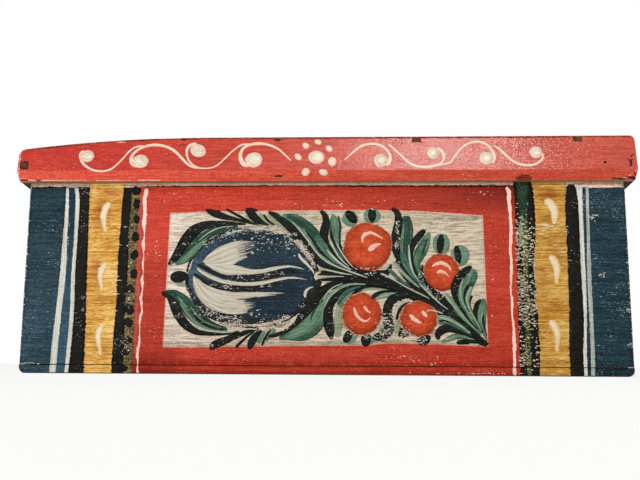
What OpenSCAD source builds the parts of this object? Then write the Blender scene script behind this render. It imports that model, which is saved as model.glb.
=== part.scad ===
// Painted wooden box with a hinged lid: four boards rebated and pegged at the corners, a thin
// bottom board nailed on from below, and a lid board edged on three sides with a moulding.
// Two pairs of linked iron eyes at the back carry the lid.
// Millimetres. The origin is the centre of the bottom face, +Z is up and the front faces -Y.

/* [Box] */
// Width of the box over its front board
box_w = 366; // [300:1:440]
// Depth of the box over its front and back boards
box_d = 210; // [170:1:260]
// Height of the four wall boards
wall_h = 126.6; // [100:0.2:160]
// Thickness of the four wall boards
wall_t = 11; // [9:0.5:14]
// Depth of the rebates that take the end boards
rebate_in = 5; // [3:0.5:6]
// Thickness of the bottom board
bottom_t = 5.2; // [4.6:0.2:8]
// Radius of the worn lower ends of the bottom board
worn_r = 4; // [2:0.5:4]

/* [Lid] */
// Thickness of the lid board
lid_t = 12.5; // [11:0.5:16]
// Gap between the hanging mouldings and the walls
lid_gap = 0.5; // [0.3:0.1:1.5]
// Overhang of the lid behind the back board
rear_out = 10; // [9:0.5:14]
// How far the top of the lid falls at its left end
lid_fall = 7.5; // [3:0.5:8]
// Length over which the top of the lid falls
fall_len = 118; // [80:1:150]

/* [Mouldings] */
// Thickness of the lid mouldings
moulding_t = 5.8; // [5:0.2:8]
// Height of the front moulding
moulding_h = 27.5; // [24:0.5:34]
// Height of the chamfer under the arris of the mouldings
chamfer_h = 6.4; // [4:0.2:9]
// How far the chamfer slopes in
chamfer_in = 1.6; // [0.6:0.2:2.4]
// How far the face leans in above the arris
lean_in = 1; // [0.4:0.2:1.6]
// Radius of the upper corners of the front moulding
corner_r = 3; // [1:0.5:4]
// How far the side mouldings hang below the front one
side_drop = 2.3; // [1:0.1:5]
// Length of the clipped lower front end of the side mouldings
side_clip = 20; // [8:1:40]

/* [Hinges] */
// Distance between the two hinges
hinge_span = 220; // [120:1:260]
// Wire diameter of the hinge eyes
wire_d = 2.2; // [1.8:0.1:2.6]
// Play between the linked eyes
eye_play = 0.2; // [0.1:0.05:0.4]
// Distance of the hinge line behind the back board
hinge_out = 2.1; // [1.8:0.1:2.6]
// Diameter of the split shanks of the eyes
shank_d = 2.8; // [2.4:0.1:3.4]
// Length of each clinched leg of a shank
clinch_len = 9; // [6:0.5:14]
// Thickness of a clinched leg
clinch_t = 0.8; // [0.5:0.1:1.4]
// Gap round the eyes in their notches
notch_gap = 0.4; // [0.3:0.1:0.8]

/* [Fasteners] */
// Diameter of the wooden corner pegs
peg_d = 6; // [4:0.5:7]
// Length of the corner pegs
peg_len = 30; // [20:1:40]
// Number of pegs in each corner
peg_count = 3; // [2:1:4]
// Distance of the end pegs from the edges of the boards
peg_edge = 20; // [12:1:30]
// Width of the square nail shanks
nail_w = 2; // [1.6:0.1:2.4]
// Length of the nails
nail_len = 26; // [20:1:32]
// Width of the square nail heads
nail_head = 4.4; // [3.4:0.2:5]
// Thickness of the nail heads
nail_head_t = 0.8; // [0.6:0.1:1.2]
// Width of the flat heads along the top of the front moulding
flat_head_w = 5.4; // [4:0.2:7]
// Height of the flat heads along the top of the front moulding
flat_head_h = 2.6; // [2.2:0.1:3]
// Depth of the flat heads below the top of the lid
flat_nail_down = 2.4; // [1.8:0.1:4]
// Distance of the corner nails from the ends of the front moulding
corner_nail_in = 4.2; // [2.6:0.1:4.4]
// Distance of the corner nails above the arris
corner_nail_up = 3.8; // [3:0.1:8]
// Height of the side moulding nails above the walls
side_nail_up = 2.2; // [1.8:0.1:3]
// Gap round nails, pegs and shanks in their holes
fit_gap = 0.05; // [0.03:0.01:0.1]

/* [Hidden] */
$fn = 64;

// Levels
wall_top = bottom_t + wall_h;
lid_top = wall_top + lid_t;
moulding_low = lid_top - moulding_h;
arris_z = moulding_low + chamfer_h;
side_low = moulding_low - side_drop;

// Places across the box
half_w = box_w / 2;
half_d = box_d / 2;
lid_half = half_w + lid_gap;
lid_out = lid_half + moulding_t;
moulding_back = -half_d - lid_gap;
moulding_front = moulding_back - moulding_t;
lid_rear = half_d + rear_out;
end_line = half_w - wall_t / 2;
end_half = half_d - wall_t + rebate_in;

// The top of the lid is flat, then falls to the left along one round arc
fall_x = -lid_out + fall_len;
fall_r = (fall_len * fall_len + lid_fall * lid_fall) / (2 * lid_fall);
arc_steps = 720;
function top_z(x) =
    x >= fall_x ? lid_top : lid_top - fall_r + sqrt(fall_r * fall_r - (x - fall_x) * (x - fall_x));
function top_slope(x) = x >= fall_x ? 0 : asin((fall_x - x) / fall_r);
function face_in(z) = z > arris_z ? lean_in * (z - arris_z) / (lid_top - arris_z) : 0;

// Hinge line and its linked eyes
hinge_y = half_d + hinge_out;
hinge_z = wall_top;
hinge_x = hinge_span / 2;
lid_eye_r = wire_d + eye_play;
back_eye_r = wire_d + 2 * eye_play;
eye_lean = 45;
back_eye_reach = 2 * back_eye_r + wire_d / 2;
notch_w = 2 * (back_eye_r + wire_d / 2 + notch_gap);
lid_notch = lid_eye_r + wire_d / 2 + notch_gap;
back_notch = (back_eye_reach + wire_d / 2) * cos(eye_lean) + notch_gap;

// Fastener rows
nail_tip = 2 * nail_w;
past = 1;
bottom_nail_x = [-0.93, -0.338, 0.295, 0.9] * (half_w - wall_t - nail_head);
bottom_nail_y = [-0.42, 0.42] * end_half;
front_nail_x = [-0.46, -0.165, 0.302, 0.816] * lid_out;
side_nail_y = [-0.75, -0.1, 0.55] * half_d;
peg_z = [for (i = [0 : peg_count - 1])
    bottom_t + peg_edge + i * (wall_h - 2 * peg_edge) / (peg_count - 1)];

painted_red = "#d0402c";
painted_blue = "#2a4258";
bare_wood = "#a98a62";
iron = "#3a3734";

// Shared shapes

// A board given by its lowest and highest corners
module board(low, high) {
    translate(low) cube(high - low);
}

// A cut nail along +Z: the head lies below z = 0 and the square shank ends in a chisel point
module nail(head_size) {
    translate([-head_size[0] / 2, -head_size[1] / 2, -nail_head_t])
        cube([head_size[0], head_size[1], nail_head_t]);
    translate([-nail_w / 2, -nail_w / 2, 0]) cube([nail_w, nail_w, nail_len - nail_tip]);
    translate([0, nail_w / 2, nail_len - nail_tip]) rotate([90, 0, 0])
        linear_extrude(nail_w) polygon([[-nail_w / 2, 0], [nail_w / 2, 0], [0, nail_tip]]);
}

// The hole that a cut nail fills, with its head let in
module nail_hole(head_size) {
    shank = nail_w + 2 * fit_gap;
    head = [head_size[0] + 2 * fit_gap, head_size[1] + 2 * fit_gap];
    translate([-shank / 2, -shank / 2, -past]) cube([shank, shank, nail_len + fit_gap + past]);
    translate([-head[0] / 2, -head[1] / 2, -nail_head_t - past])
        cube([head[0], head[1], nail_head_t + past]);
}

square_head = [nail_head, nail_head];
flat_head = [flat_head_w, flat_head_h];

// Wire ring in the XY plane
module ring(r) {
    rotate_extrude() translate([r, 0]) circle(d = wire_d);
}

// The two flat legs of a split shank, clinched apart along X on the plane z = 0
module clinched_legs() {
    linear_extrude(clinch_t) polygon([
        [-clinch_len, -wire_d / 4], [-clinch_len, wire_d / 4],
        [-shank_d / 2, shank_d / 2], [shank_d / 2, shank_d / 2],
        [clinch_len, wire_d / 4], [clinch_len, -wire_d / 4],
        [shank_d / 2, -shank_d / 2], [-shank_d / 2, -shank_d / 2]]);
}

// Places of repeated pieces

module at_corner_pegs(side) {
    for (x = [-end_line, end_line], z = peg_z)
        translate([x, side * half_d, z]) rotate([side * 90, 0, 0]) children();
}

module at_bottom_nails(y) {
    for (x = bottom_nail_x) translate([x, y, nail_head_t]) children();
}

module at_end_nails() {
    for (x = [-end_line, end_line], y = bottom_nail_y) translate([x, y, nail_head_t]) children();
}

module at_front_nails() {
    for (x = front_nail_x) {
        z = top_z(x) - flat_nail_down;
        translate([x, moulding_front + face_in(z) + nail_head_t, z])
            rotate([-90, 0, 0]) children();
    }
}

module at_corner_nails() {
    z = arris_z + corner_nail_up;
    for (side = [-1, 1])
        translate([side * (lid_out - corner_nail_in), moulding_front + face_in(z) + nail_head_t, z])
            rotate([-90, 0, 0]) children();
}

module at_side_nails(side) {
    z = wall_top + side_nail_up;
    for (y = side_nail_y)
        translate([side * (lid_out - face_in(z) - nail_head_t), y, z])
            rotate([0, -side * 90, 0]) children();
}

module at_hinge(side) {
    translate([side * hinge_x, hinge_y, hinge_z]) children();
}

// Box

module wall_with_rebates() {
    difference() {
        board([-half_w, half_d - wall_t, bottom_t], [half_w, half_d, wall_top]);
        for (x = [-1, 1])
            translate([x * half_w, half_d - wall_t, wall_top - wall_h / 2])
                cube([2 * wall_t, 2 * rebate_in, wall_h + 2 * past], center = true);
    }
}

module front_board() {
    color(painted_red) difference() {
        mirror([0, 1, 0]) wall_with_rebates();
        at_corner_pegs(-1) peg_hole();
        at_bottom_nails(-half_d + wall_t / 2) nail_hole(square_head);
    }
}

module back_board() {
    color(bare_wood) difference() {
        wall_with_rebates();
        at_corner_pegs(1) peg_hole();
        at_bottom_nails(half_d - wall_t / 2) nail_hole(square_head);
        for (side = [-1, 1]) at_hinge(side) {
            rotate([90 + eye_lean, 0, 0]) cylinder(d = shank_d + 2 * fit_gap, h = 4 * wall_t);
            translate([-notch_w / 2, -back_notch, -back_notch])
                cube([notch_w, back_notch + past, back_notch + past]);
        }
    }
}

module end_board(side) {
    color(painted_blue) difference() {
        board([min(side * half_w, side * (half_w - wall_t)), -end_half, bottom_t],
              [max(side * half_w, side * (half_w - wall_t)), end_half, wall_top]);
        for (face = [-1, 1]) at_corner_pegs(face) peg_hole();
        at_end_nails() nail_hole(square_head);
    }
}

module left_end_board() end_board(-1);

module right_end_board() end_board(1);

// The thin bottom board, worn round along its two lower ends
module bottom_board() {
    color(bare_wood) difference() {
        translate([0, half_d, 0]) rotate([90, 0, 0]) linear_extrude(box_d) difference() {
            translate([-half_w, 0]) square([box_w, bottom_t]);
            for (side = [-1, 1]) translate([side * (half_w - worn_r), worn_r]) difference() {
                translate([side > 0 ? 0 : -2 * worn_r, -2 * worn_r]) square(2 * worn_r);
                circle(worn_r);
            }
        }
        for (side = [-1, 1]) at_bottom_nails(side * (half_d - wall_t / 2)) nail_hole(square_head);
        at_end_nails() nail_hole(square_head);
    }
}

module peg_hole() {
    translate([0, 0, -past]) cylinder(d = peg_d + 2 * fit_gap, h = peg_len + fit_gap + past);
}

module front_corner_pegs() {
    color(painted_blue) at_corner_pegs(-1) cylinder(d = peg_d, h = peg_len);
}

module back_corner_pegs() {
    color(bare_wood) at_corner_pegs(1) cylinder(d = peg_d, h = peg_len);
}

module bottom_front_nails() {
    color(iron) at_bottom_nails(-half_d + wall_t / 2) nail(square_head);
}

module bottom_back_nails() {
    color(iron) at_bottom_nails(half_d - wall_t / 2) nail(square_head);
}

module bottom_end_nails() {
    color(iron) at_end_nails() nail(square_head);
}

// An eye whose split shank runs down through the back board and is clinched inside it
module back_eye(side) {
    color(iron) at_hinge(side) {
        rotate([eye_lean, 0, 0]) translate([0, -back_eye_r, 0]) ring(back_eye_r);
        intersection() {
            rotate([90 + eye_lean, 0, 0]) translate([0, 0, 2 * back_eye_r])
                cylinder(d = shank_d, h = 4 * wall_t);
            translate([-shank_d, -hinge_out - wall_t - clinch_t, -4 * wall_t])
                cube([2 * shank_d, 4 * wall_t, 4 * wall_t]);
        }
        translate([0, -hinge_out - wall_t, -(hinge_out + wall_t) * tan(eye_lean)])
            rotate([90, 0, 0]) clinched_legs();
    }
}

module left_back_eye() back_eye(-1);

module right_back_eye() back_eye(1);

// Lid

// Front view of the lid: leaning ends, rounded upper corners and the fall of the top to the left
module lid_outline(low) {
    difference() {
        intersection() {
            polygon([[-lid_out + chamfer_in, low], [lid_out - chamfer_in, low], [lid_out, arris_z],
                     [lid_out - lean_in, lid_top], [-lid_out + lean_in, lid_top],
                     [-lid_out, arris_z]]);
            union() {
                translate([fall_x, low]) square([2 * lid_out, lid_top - low]);
                translate([fall_x, lid_top - fall_r]) circle(fall_r, $fn = arc_steps);
            }
        }
        for (side = [-1, 1]) rounded_off(side);
    }
}

// What the round of an upper corner takes away
module rounded_off(side) {
    corner_x = side * (lid_out - lean_in);
    translate([corner_x - side * corner_r, top_z(corner_x) - corner_r]) difference() {
        translate([side > 0 ? 0 : -2 * corner_r, 0]) square(2 * corner_r);
        circle(corner_r);
    }
}

// Section of the mouldings: the arris at x = 0, the wall side at x = moulding_t
module moulding_section(low) {
    polygon([[chamfer_in, low], [0, arris_z], [lean_in, lid_top], [moulding_t, lid_top],
             [moulding_t, low]]);
}

module under_lid_outline(low) {
    intersection() {
        children();
        translate([0, lid_rear + past, 0]) rotate([90, 0, 0])
            linear_extrude(lid_rear - moulding_front + 2 * past) lid_outline(low);
    }
}

module lid_board() {
    color(painted_red) difference() {
        intersection() {
            board([-lid_half, moulding_back, wall_top], [lid_half, lid_rear, lid_top]);
            translate([0, lid_rear + past, 0]) rotate([90, 0, 0])
                linear_extrude(lid_rear - moulding_back + 2 * past) union() {
                    translate([fall_x, wall_top]) square([2 * lid_out, lid_t]);
                    translate([fall_x, lid_top - fall_r]) circle(fall_r, $fn = arc_steps);
                }
        }
        at_front_nails() nail_hole(flat_head);
        for (side = [-1, 1]) {
            at_side_nails(side) nail_hole(square_head);
            at_hinge(side) {
                cylinder(d = shank_d + 2 * fit_gap, h = lid_t + past);
                translate([-notch_w / 2, -lid_notch, -past])
                    cube([notch_w, 2 * lid_notch, lid_notch + past]);
            }
        }
    }
}

module front_moulding() {
    color(painted_red) difference() {
        under_lid_outline(moulding_low)
            translate([-lid_out, moulding_front, 0]) rotate([90, 0, 90])
                linear_extrude(2 * lid_out) moulding_section(moulding_low);
        at_front_nails() nail_hole(flat_head);
        at_corner_nails() nail_hole(square_head);
    }
}

// A side moulding butts against the back of the front one, with its lower front end clipped
module side_moulding(side) {
    color(painted_red) difference() {
        under_lid_outline(side_low)
            translate([side * lid_out, lid_rear, 0]) mirror([side > 0 ? 1 : 0, 0, 0])
                rotate([90, 0, 0]) linear_extrude(lid_rear - moulding_back)
                    moulding_section(side_low);
        translate([-2 * lid_out, moulding_back, side_low]) rotate([90, 0, 90])
            linear_extrude(4 * lid_out)
                polygon([[-past, -past], [side_clip, -past], [side_clip, 0], [0, side_drop],
                         [-past, side_drop]]);
        at_corner_nails() nail_hole(square_head);
        at_side_nails(side) nail_hole(square_head);
    }
}

module left_moulding() side_moulding(-1);

module right_moulding() side_moulding(1);

module front_moulding_nails() {
    color(iron) at_front_nails() nail(flat_head);
}

module corner_nails() {
    color(iron) at_corner_nails() nail(square_head);
}

module left_moulding_nails() {
    color(iron) at_side_nails(-1) nail(square_head);
}

module right_moulding_nails() {
    color(iron) at_side_nails(1) nail(square_head);
}

// An eye round the wire of the back eye, with its split shank clinched on top of the lid
module lid_eye(side) {
    top = top_z(side * hinge_x) - hinge_z;
    color(iron) at_hinge(side) {
        rotate([0, 90, 0]) ring(lid_eye_r);
        translate([0, 0, lid_eye_r]) cylinder(d = shank_d, h = top - lid_eye_r);
        translate([0, 0, top]) rotate([0, -top_slope(side * hinge_x), 0]) clinched_legs();
    }
}

module left_lid_eye() lid_eye(-1);

module right_lid_eye() lid_eye(1);

front_board();
back_board();
left_end_board();
right_end_board();
bottom_board();
front_corner_pegs();
back_corner_pegs();
bottom_front_nails();
bottom_back_nails();
bottom_end_nails();
left_back_eye();
right_back_eye();
lid_board();
front_moulding();
left_moulding();
right_moulding();
front_moulding_nails();
corner_nails();
left_moulding_nails();
right_moulding_nails();
left_lid_eye();
right_lid_eye();
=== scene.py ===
# %% [markdown]
# A small painted chest: pine boards, a hinged lid with mouldings, and a folk painting on the front. The
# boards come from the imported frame, so nothing here sets their size or place. This lesson gives them
# worn edges, wood, iron and paint. The painting could be one picture on the front, but here it is laid
# on as thin films of paint, stroke by stroke, the way a brush leaves them: so each edge stays crisp
# from near by, and each stroke can still be moved or given another colour.

# %% The frame, the units and the box that the solids fill
import math
import random

import bmesh
import bpy
from mathutils import Euler, Matrix, Vector, noise


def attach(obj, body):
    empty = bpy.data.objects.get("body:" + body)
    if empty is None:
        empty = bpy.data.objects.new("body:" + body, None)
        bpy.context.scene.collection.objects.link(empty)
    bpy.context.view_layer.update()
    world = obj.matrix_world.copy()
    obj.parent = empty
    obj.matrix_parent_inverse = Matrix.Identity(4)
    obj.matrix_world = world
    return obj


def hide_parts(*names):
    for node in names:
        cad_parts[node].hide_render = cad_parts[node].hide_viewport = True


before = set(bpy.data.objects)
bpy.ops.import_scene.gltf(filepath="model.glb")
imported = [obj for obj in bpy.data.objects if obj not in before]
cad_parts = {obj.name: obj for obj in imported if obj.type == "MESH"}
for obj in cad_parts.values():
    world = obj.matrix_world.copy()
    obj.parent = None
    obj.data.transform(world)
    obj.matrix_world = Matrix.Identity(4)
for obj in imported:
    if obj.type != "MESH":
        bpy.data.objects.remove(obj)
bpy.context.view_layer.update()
MM = 0.001

# %% [markdown]
# Four small helpers serve the whole lesson. Colours are written as sRGB hex values, as a paint card
# would give them, and turned to the linear values that shaders use. One function adds a shader node
# with its settings and links, and one starts a material with nothing in it. Pattern sizes are written
# in millimetres, because they can be measured on a real object, and a bare scale can't.

# %% Colour, nodes and pattern sizes
def linear(hex_colour):
    """sRGB hex value to a linear colour with alpha."""
    parts = [int(hex_colour[i:i + 2], 16) / 255 for i in (1, 3, 5)]
    return [v / 12.92 if v <= 0.04045 else ((v + 0.055) / 1.055) ** 2.4 for v in parts] + [1.0]


def add(tree, kind, links=None, **settings):
    """Adds one node: settings are its properties, links its inputs, as a value or another's output."""
    made = tree.nodes.new("ShaderNode" + kind)
    for name, value in settings.items():
        setattr(made, name, value)
    for socket, value in (links or {}).items():
        if isinstance(value, bpy.types.NodeSocket):
            tree.links.new(value, made.inputs[socket])
        else:
            made.inputs[socket].default_value = value
    return made


def blank_material(name):
    """A material with an empty node tree."""
    material = bpy.data.materials.new(name)
    material.use_nodes = True
    material.node_tree.nodes.clear()
    return material


def per_mm(x, y, z):
    """Mapping scale that makes one feature of a pattern x by y by z millimetres large."""
    return (1 / (x * MM), 1 / (y * MM), 1 / (z * MM))


print("red lead paint is", [round(v, 3) for v in linear("#D43C2A")], "in linear light")

# %% [markdown]
# The stage is a sheet of pale paper in a white room, as for a catalogue picture. It could be a curved
# backdrop with its own lights, but a flat floor in a white world gives the same picture with less to
# set up. The room is white for camera rays and for reflections, but lights the box only half as
# strongly, which leaves the rest to the lamps. The paper glows, so that it fades into the room, and
# still takes a soft shadow.

# %% Floor and world
ROOM_LIGHT, PAPER_GLOW, PAPER_REACH = 0.5, 0.86, 6.0


def rays_that_see(tree):
    """One for camera rays, reflections and rays through glass, and zero for light on the box."""
    path = add(tree, "LightPath")
    seen = add(tree, "Math", {0: path.outputs["Is Camera Ray"], 1: path.outputs["Is Glossy Ray"]},
               operation="MAXIMUM")
    return add(tree, "Math", {0: seen.outputs[0], 1: path.outputs["Is Transmission Ray"]},
               operation="MAXIMUM").outputs[0]


def stage_world():
    """A white room that shows brighter than it lights."""
    world = bpy.data.worlds.new("studio")
    bpy.context.scene.world = world
    world.use_nodes = True
    tree = world.node_tree
    tree.nodes.clear()
    soft = add(tree, "Background", {"Color": linear("#FFFFFF"), "Strength": ROOM_LIGHT})
    white = add(tree, "Background", {"Color": linear("#FFFFFF"), "Strength": 1.0})
    mixed = add(tree, "MixShader", {0: rays_that_see(tree), 1: soft.outputs[0], 2: white.outputs[0]})
    add(tree, "OutputWorld", {"Surface": mixed.outputs[0]})


def stage_floor():
    """A sheet of pale paper, wide enough to run out of the picture."""
    bm = bmesh.new()
    bmesh.ops.create_grid(bm, x_segments=1, y_segments=1, size=PAPER_REACH)
    mesh = bpy.data.meshes.new("floor")
    bm.to_mesh(mesh)
    bm.free()
    floor = bpy.data.objects.new("floor", mesh)
    bpy.context.scene.collection.objects.link(floor)
    material = blank_material("pale paper floor")
    tree = material.node_tree
    share = add(tree, "Math", {0: rays_that_see(tree), 1: PAPER_GLOW}, operation="MULTIPLY")
    paper = add(tree, "BsdfDiffuse", {"Color": linear("#F2F1EE")})
    white = add(tree, "Emission", {"Color": linear("#FFFFFF"), "Strength": 1.0})
    mixed = add(tree, "MixShader", {0: share.outputs[0], 1: paper.outputs[0], 2: white.outputs[0]})
    add(tree, "OutputMaterial", {"Surface": mixed.outputs[0]})
    mesh.materials.append(material)


stage_world()
stage_floor()
bpy.context.scene.view_settings.view_transform = "Standard"
print("stage: white world and pale floor")

# %% [markdown]
# Three lamps, each with its place in metres, its width and height, and its power. Lamps with an area
# are chosen because they give soft shadows, and because their mirror images can be placed. The key
# stands front left and the fill front right, both wide and low, at a level at which a colour renders
# about as it is written. The third is narrow and stands where the leaning lid face mirrors it to the
# camera: that gives the glare on the right half of the lid.

# %% Lamps
LAMPS = (
    ("key", (-0.60, -1.45, 0.20), (1.1, 0.4), 6.9),
    ("fill", (0.95, -1.10, 0.20), (0.9, 0.4), 0.8),
    ("glare", (0.18, -1.04, 0.485), (0.27, 0.05), 2.5),
)
BOX_MIDDLE = Vector((0, -0.1, 0.07))
for name, place, size, power in LAMPS:
    lamp = bpy.data.lights.new(name, "AREA")
    lamp.shape = "RECTANGLE"
    lamp.size, lamp.size_y = size
    lamp.energy = power
    holder = bpy.data.objects.new(name, lamp)
    holder.location = place
    holder.rotation_euler = (BOX_MIDDLE - Vector(place)).to_track_quat("-Z", "Y").to_euler()
    bpy.context.scene.collection.objects.link(holder)
print(len(LAMPS), "lamps")

# %% [markdown]
# The camera stands low and close, a little over half a metre from the middle of the box, so the lid is
# seen from below. It could be placed by eye, but the long edges of the foot and the lid soon show an
# error of half a degree, so its place and turn were fitted to those edges in the photograph.

# %% Camera
CAMERA_PLACE = Vector((17.3, -580.4, 6.0)) * MM
CAMERA_TURN, CAMERA_PITCH, CAMERA_ROLL = (math.radians(a) for a in (2.29, 8.96, 0.35))
camera = bpy.data.cameras.new("camera")
camera.lens = 44.5
camera.sensor_width = 36.0
camera.clip_start = 0.01
holder = bpy.data.objects.new("camera", camera)
facing = Euler((math.pi / 2 + CAMERA_PITCH, 0, CAMERA_TURN)).to_matrix()
facing = facing @ Matrix.Rotation(CAMERA_ROLL, 3, "Z")
holder.matrix_world = Matrix.Translation(CAMERA_PLACE) @ facing.to_4x4()
bpy.context.scene.collection.objects.link(holder)
bpy.context.scene.camera = holder
print("camera at", [round(v / MM) for v in CAMERA_PLACE], "mm")

# %% [markdown]
# Aged pine: planed softwood, darkened by air and hands. What the eye finds is the straight grain, with
# narrow dark late wood between wide pale bands, and a dry, matt surface. Rings could be worked out for
# each board as a saw cuts them, but most of this wood lies behind paint or in shadow, so the grain is
# noise that is drawn out along the board: tens of millimetres long and one or two wide. A stain is the
# same noise, several times as large.

# %% Aged pine
GRAIN_LENGTH, STAIN_SIZE = 130, 9


def aged_pine(name, pale, dark, along="X", grain=1.7, shine=0.3):
    """Wood with its grain along x or y; grain is the width of one line of it in millimetres."""
    material = blank_material(name)
    tree = material.node_tree
    place = add(tree, "TexCoord").outputs["Object"]
    size = {"X": (GRAIN_LENGTH, grain, grain), "Y": (grain, GRAIN_LENGTH, grain)}[along]
    stretch = add(tree, "Mapping", {"Vector": place, "Scale": per_mm(*size)})
    rings = add(tree, "TexNoise", {"Vector": stretch.outputs[0], "Scale": 1.0, "Detail": 4.0,
                                   "Roughness": 0.6, "Distortion": 0.3})
    broad = add(tree, "Mapping", {"Vector": place, "Scale": per_mm(*(v * STAIN_SIZE for v in size))})
    stain = add(tree, "TexNoise", {"Vector": broad.outputs[0], "Scale": 1.0, "Detail": 3.0})
    both = add(tree, "Math", {0: rings.outputs["Fac"], 1: stain.outputs["Fac"]}, operation="ADD")
    tone = add(tree, "MapRange", {"Value": both.outputs[0], "From Min": 0.72, "From Max": 1.28})
    colour = add(tree, "Mix", {0: tone.outputs[0], 6: linear(dark), 7: linear(pale)}, data_type="RGBA")
    dull = add(tree, "MapRange", {"Value": rings.outputs["Fac"], "To Min": 0.62, "To Max": 0.82})
    ridge = add(tree, "Bump", {"Height": rings.outputs["Fac"], "Strength": 0.5, "Distance": 0.3 * MM})
    surface = add(tree, "BsdfPrincipled", {"Base Color": colour.outputs[2], "Roughness": dull.outputs[0],
                                           "Specular IOR Level": shine, "Normal": ridge.outputs[0]})
    add(tree, "OutputMaterial", {"Surface": surface.outputs[0]})
    return material


PINE = aged_pine("planed pine, aged", "#C9A878", "#8A6640")
PINE_ENDS = aged_pine("planed pine, aged, end boards", "#C9A878", "#8A6640", along="Y")
WEATHERED = aged_pine("weathered bare pine", "#C6B4A2", "#7E6B5C", grain=1.1)
HANDLED = aged_pine("handled edge of the bottom", "#54463C", "#251C17", grain=1.1)
DARK_UNDERSIDE = aged_pine("dark underside of a moulding", "#6A4232", "#2E1A14", along="Y", shine=0.1)
DIRT = aged_pine("dirt in a joint", "#1C130E", "#0D0806", shine=0.05)
print("wood:", PINE.name, "/", WEATHERED.name)

# %% [markdown]
# Forged iron: square nails and bent wire, brown with old rust. Rust is a matt oxide, so the eye finds
# little of the metal's own shine, and a colour that is mottled at about a millimetre. An even metal
# would look new, so one noise pattern sets colour, shine, roughness and pits together.

# %% Rusty iron
PIT = 1.1


def rusty_iron(name, dark, rust):
    """Iron with spots of rust, which are duller and less like metal than the dark between them."""
    material = blank_material(name)
    tree = material.node_tree
    place = add(tree, "TexCoord").outputs["Object"]
    fine = add(tree, "Mapping", {"Vector": place, "Scale": per_mm(PIT, PIT, PIT)})
    pits = add(tree, "TexNoise",
               {"Vector": fine.outputs[0], "Scale": 1.0, "Detail": 5.0, "Roughness": 0.65})
    tone = add(tree, "MapRange", {"Value": pits.outputs["Fac"], "From Min": 0.38, "From Max": 0.64})
    colour = add(tree, "Mix", {0: tone.outputs[0], 6: linear(dark), 7: linear(rust)}, data_type="RGBA")
    shine = add(tree, "MapRange", {"Value": tone.outputs[0], "To Min": 0.35, "To Max": 0.05})
    dull = add(tree, "MapRange", {"Value": tone.outputs[0], "To Min": 0.45, "To Max": 0.85})
    dents = add(tree, "Bump", {"Height": pits.outputs["Fac"], "Strength": 0.8, "Distance": 0.25 * MM})
    surface = add(tree, "BsdfPrincipled", {"Base Color": colour.outputs[2], "Metallic": shine.outputs[0],
                                           "Roughness": dull.outputs[0], "Specular IOR Level": 0.15,
                                           "Normal": dents.outputs[0]})
    add(tree, "OutputMaterial", {"Surface": surface.outputs[0]})
    return material


IRON = rusty_iron("forged iron with rust", "#30190E", "#7C4A30")
print("metal:", IRON.name)

# %% [markdown]
# Oil paint over a chalk ground on planed pine, under old varnish. The eye finds four things: the tone
# shifts a little, the grain of the board shows through as fine level lines and short dashes, small
# flakes have left the pale ground bare, and the varnish shines softly over all of it. Each is one noise
# pattern at its real size, and the finest also gives the tone its specks. The patterns lie on the
# object's own coordinates, so they run on from stroke to stroke, as the one board under all of them
# does. Strokes carry three attributes of their own: brush runs along and across the stroke in
# millimetres, for the streaks that bristles leave, wear says how much has flaked off, and glaze how
# much of a thin darker coat lies on top.

# %% Oil paint
DASH, LINE, FLAKE = (7, 1.2, 0.7), (75, 1.6, 1.0), (1.5, 1.0, 0.6)
PATCH, GRIT, BRISTLE = (26, 18, 16), (2.2, 2.2, 1.6), (22, 0.7)
TONE_STOPS = (0.42, 0.5, 0.58)
LOSS_OF_STREAKS, LOSS_OF_FLAKES = (1.135, 0.08), (1.155, 0.025)
PER_WEAR, PER_PATCH = 0.32, 0.35


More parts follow.
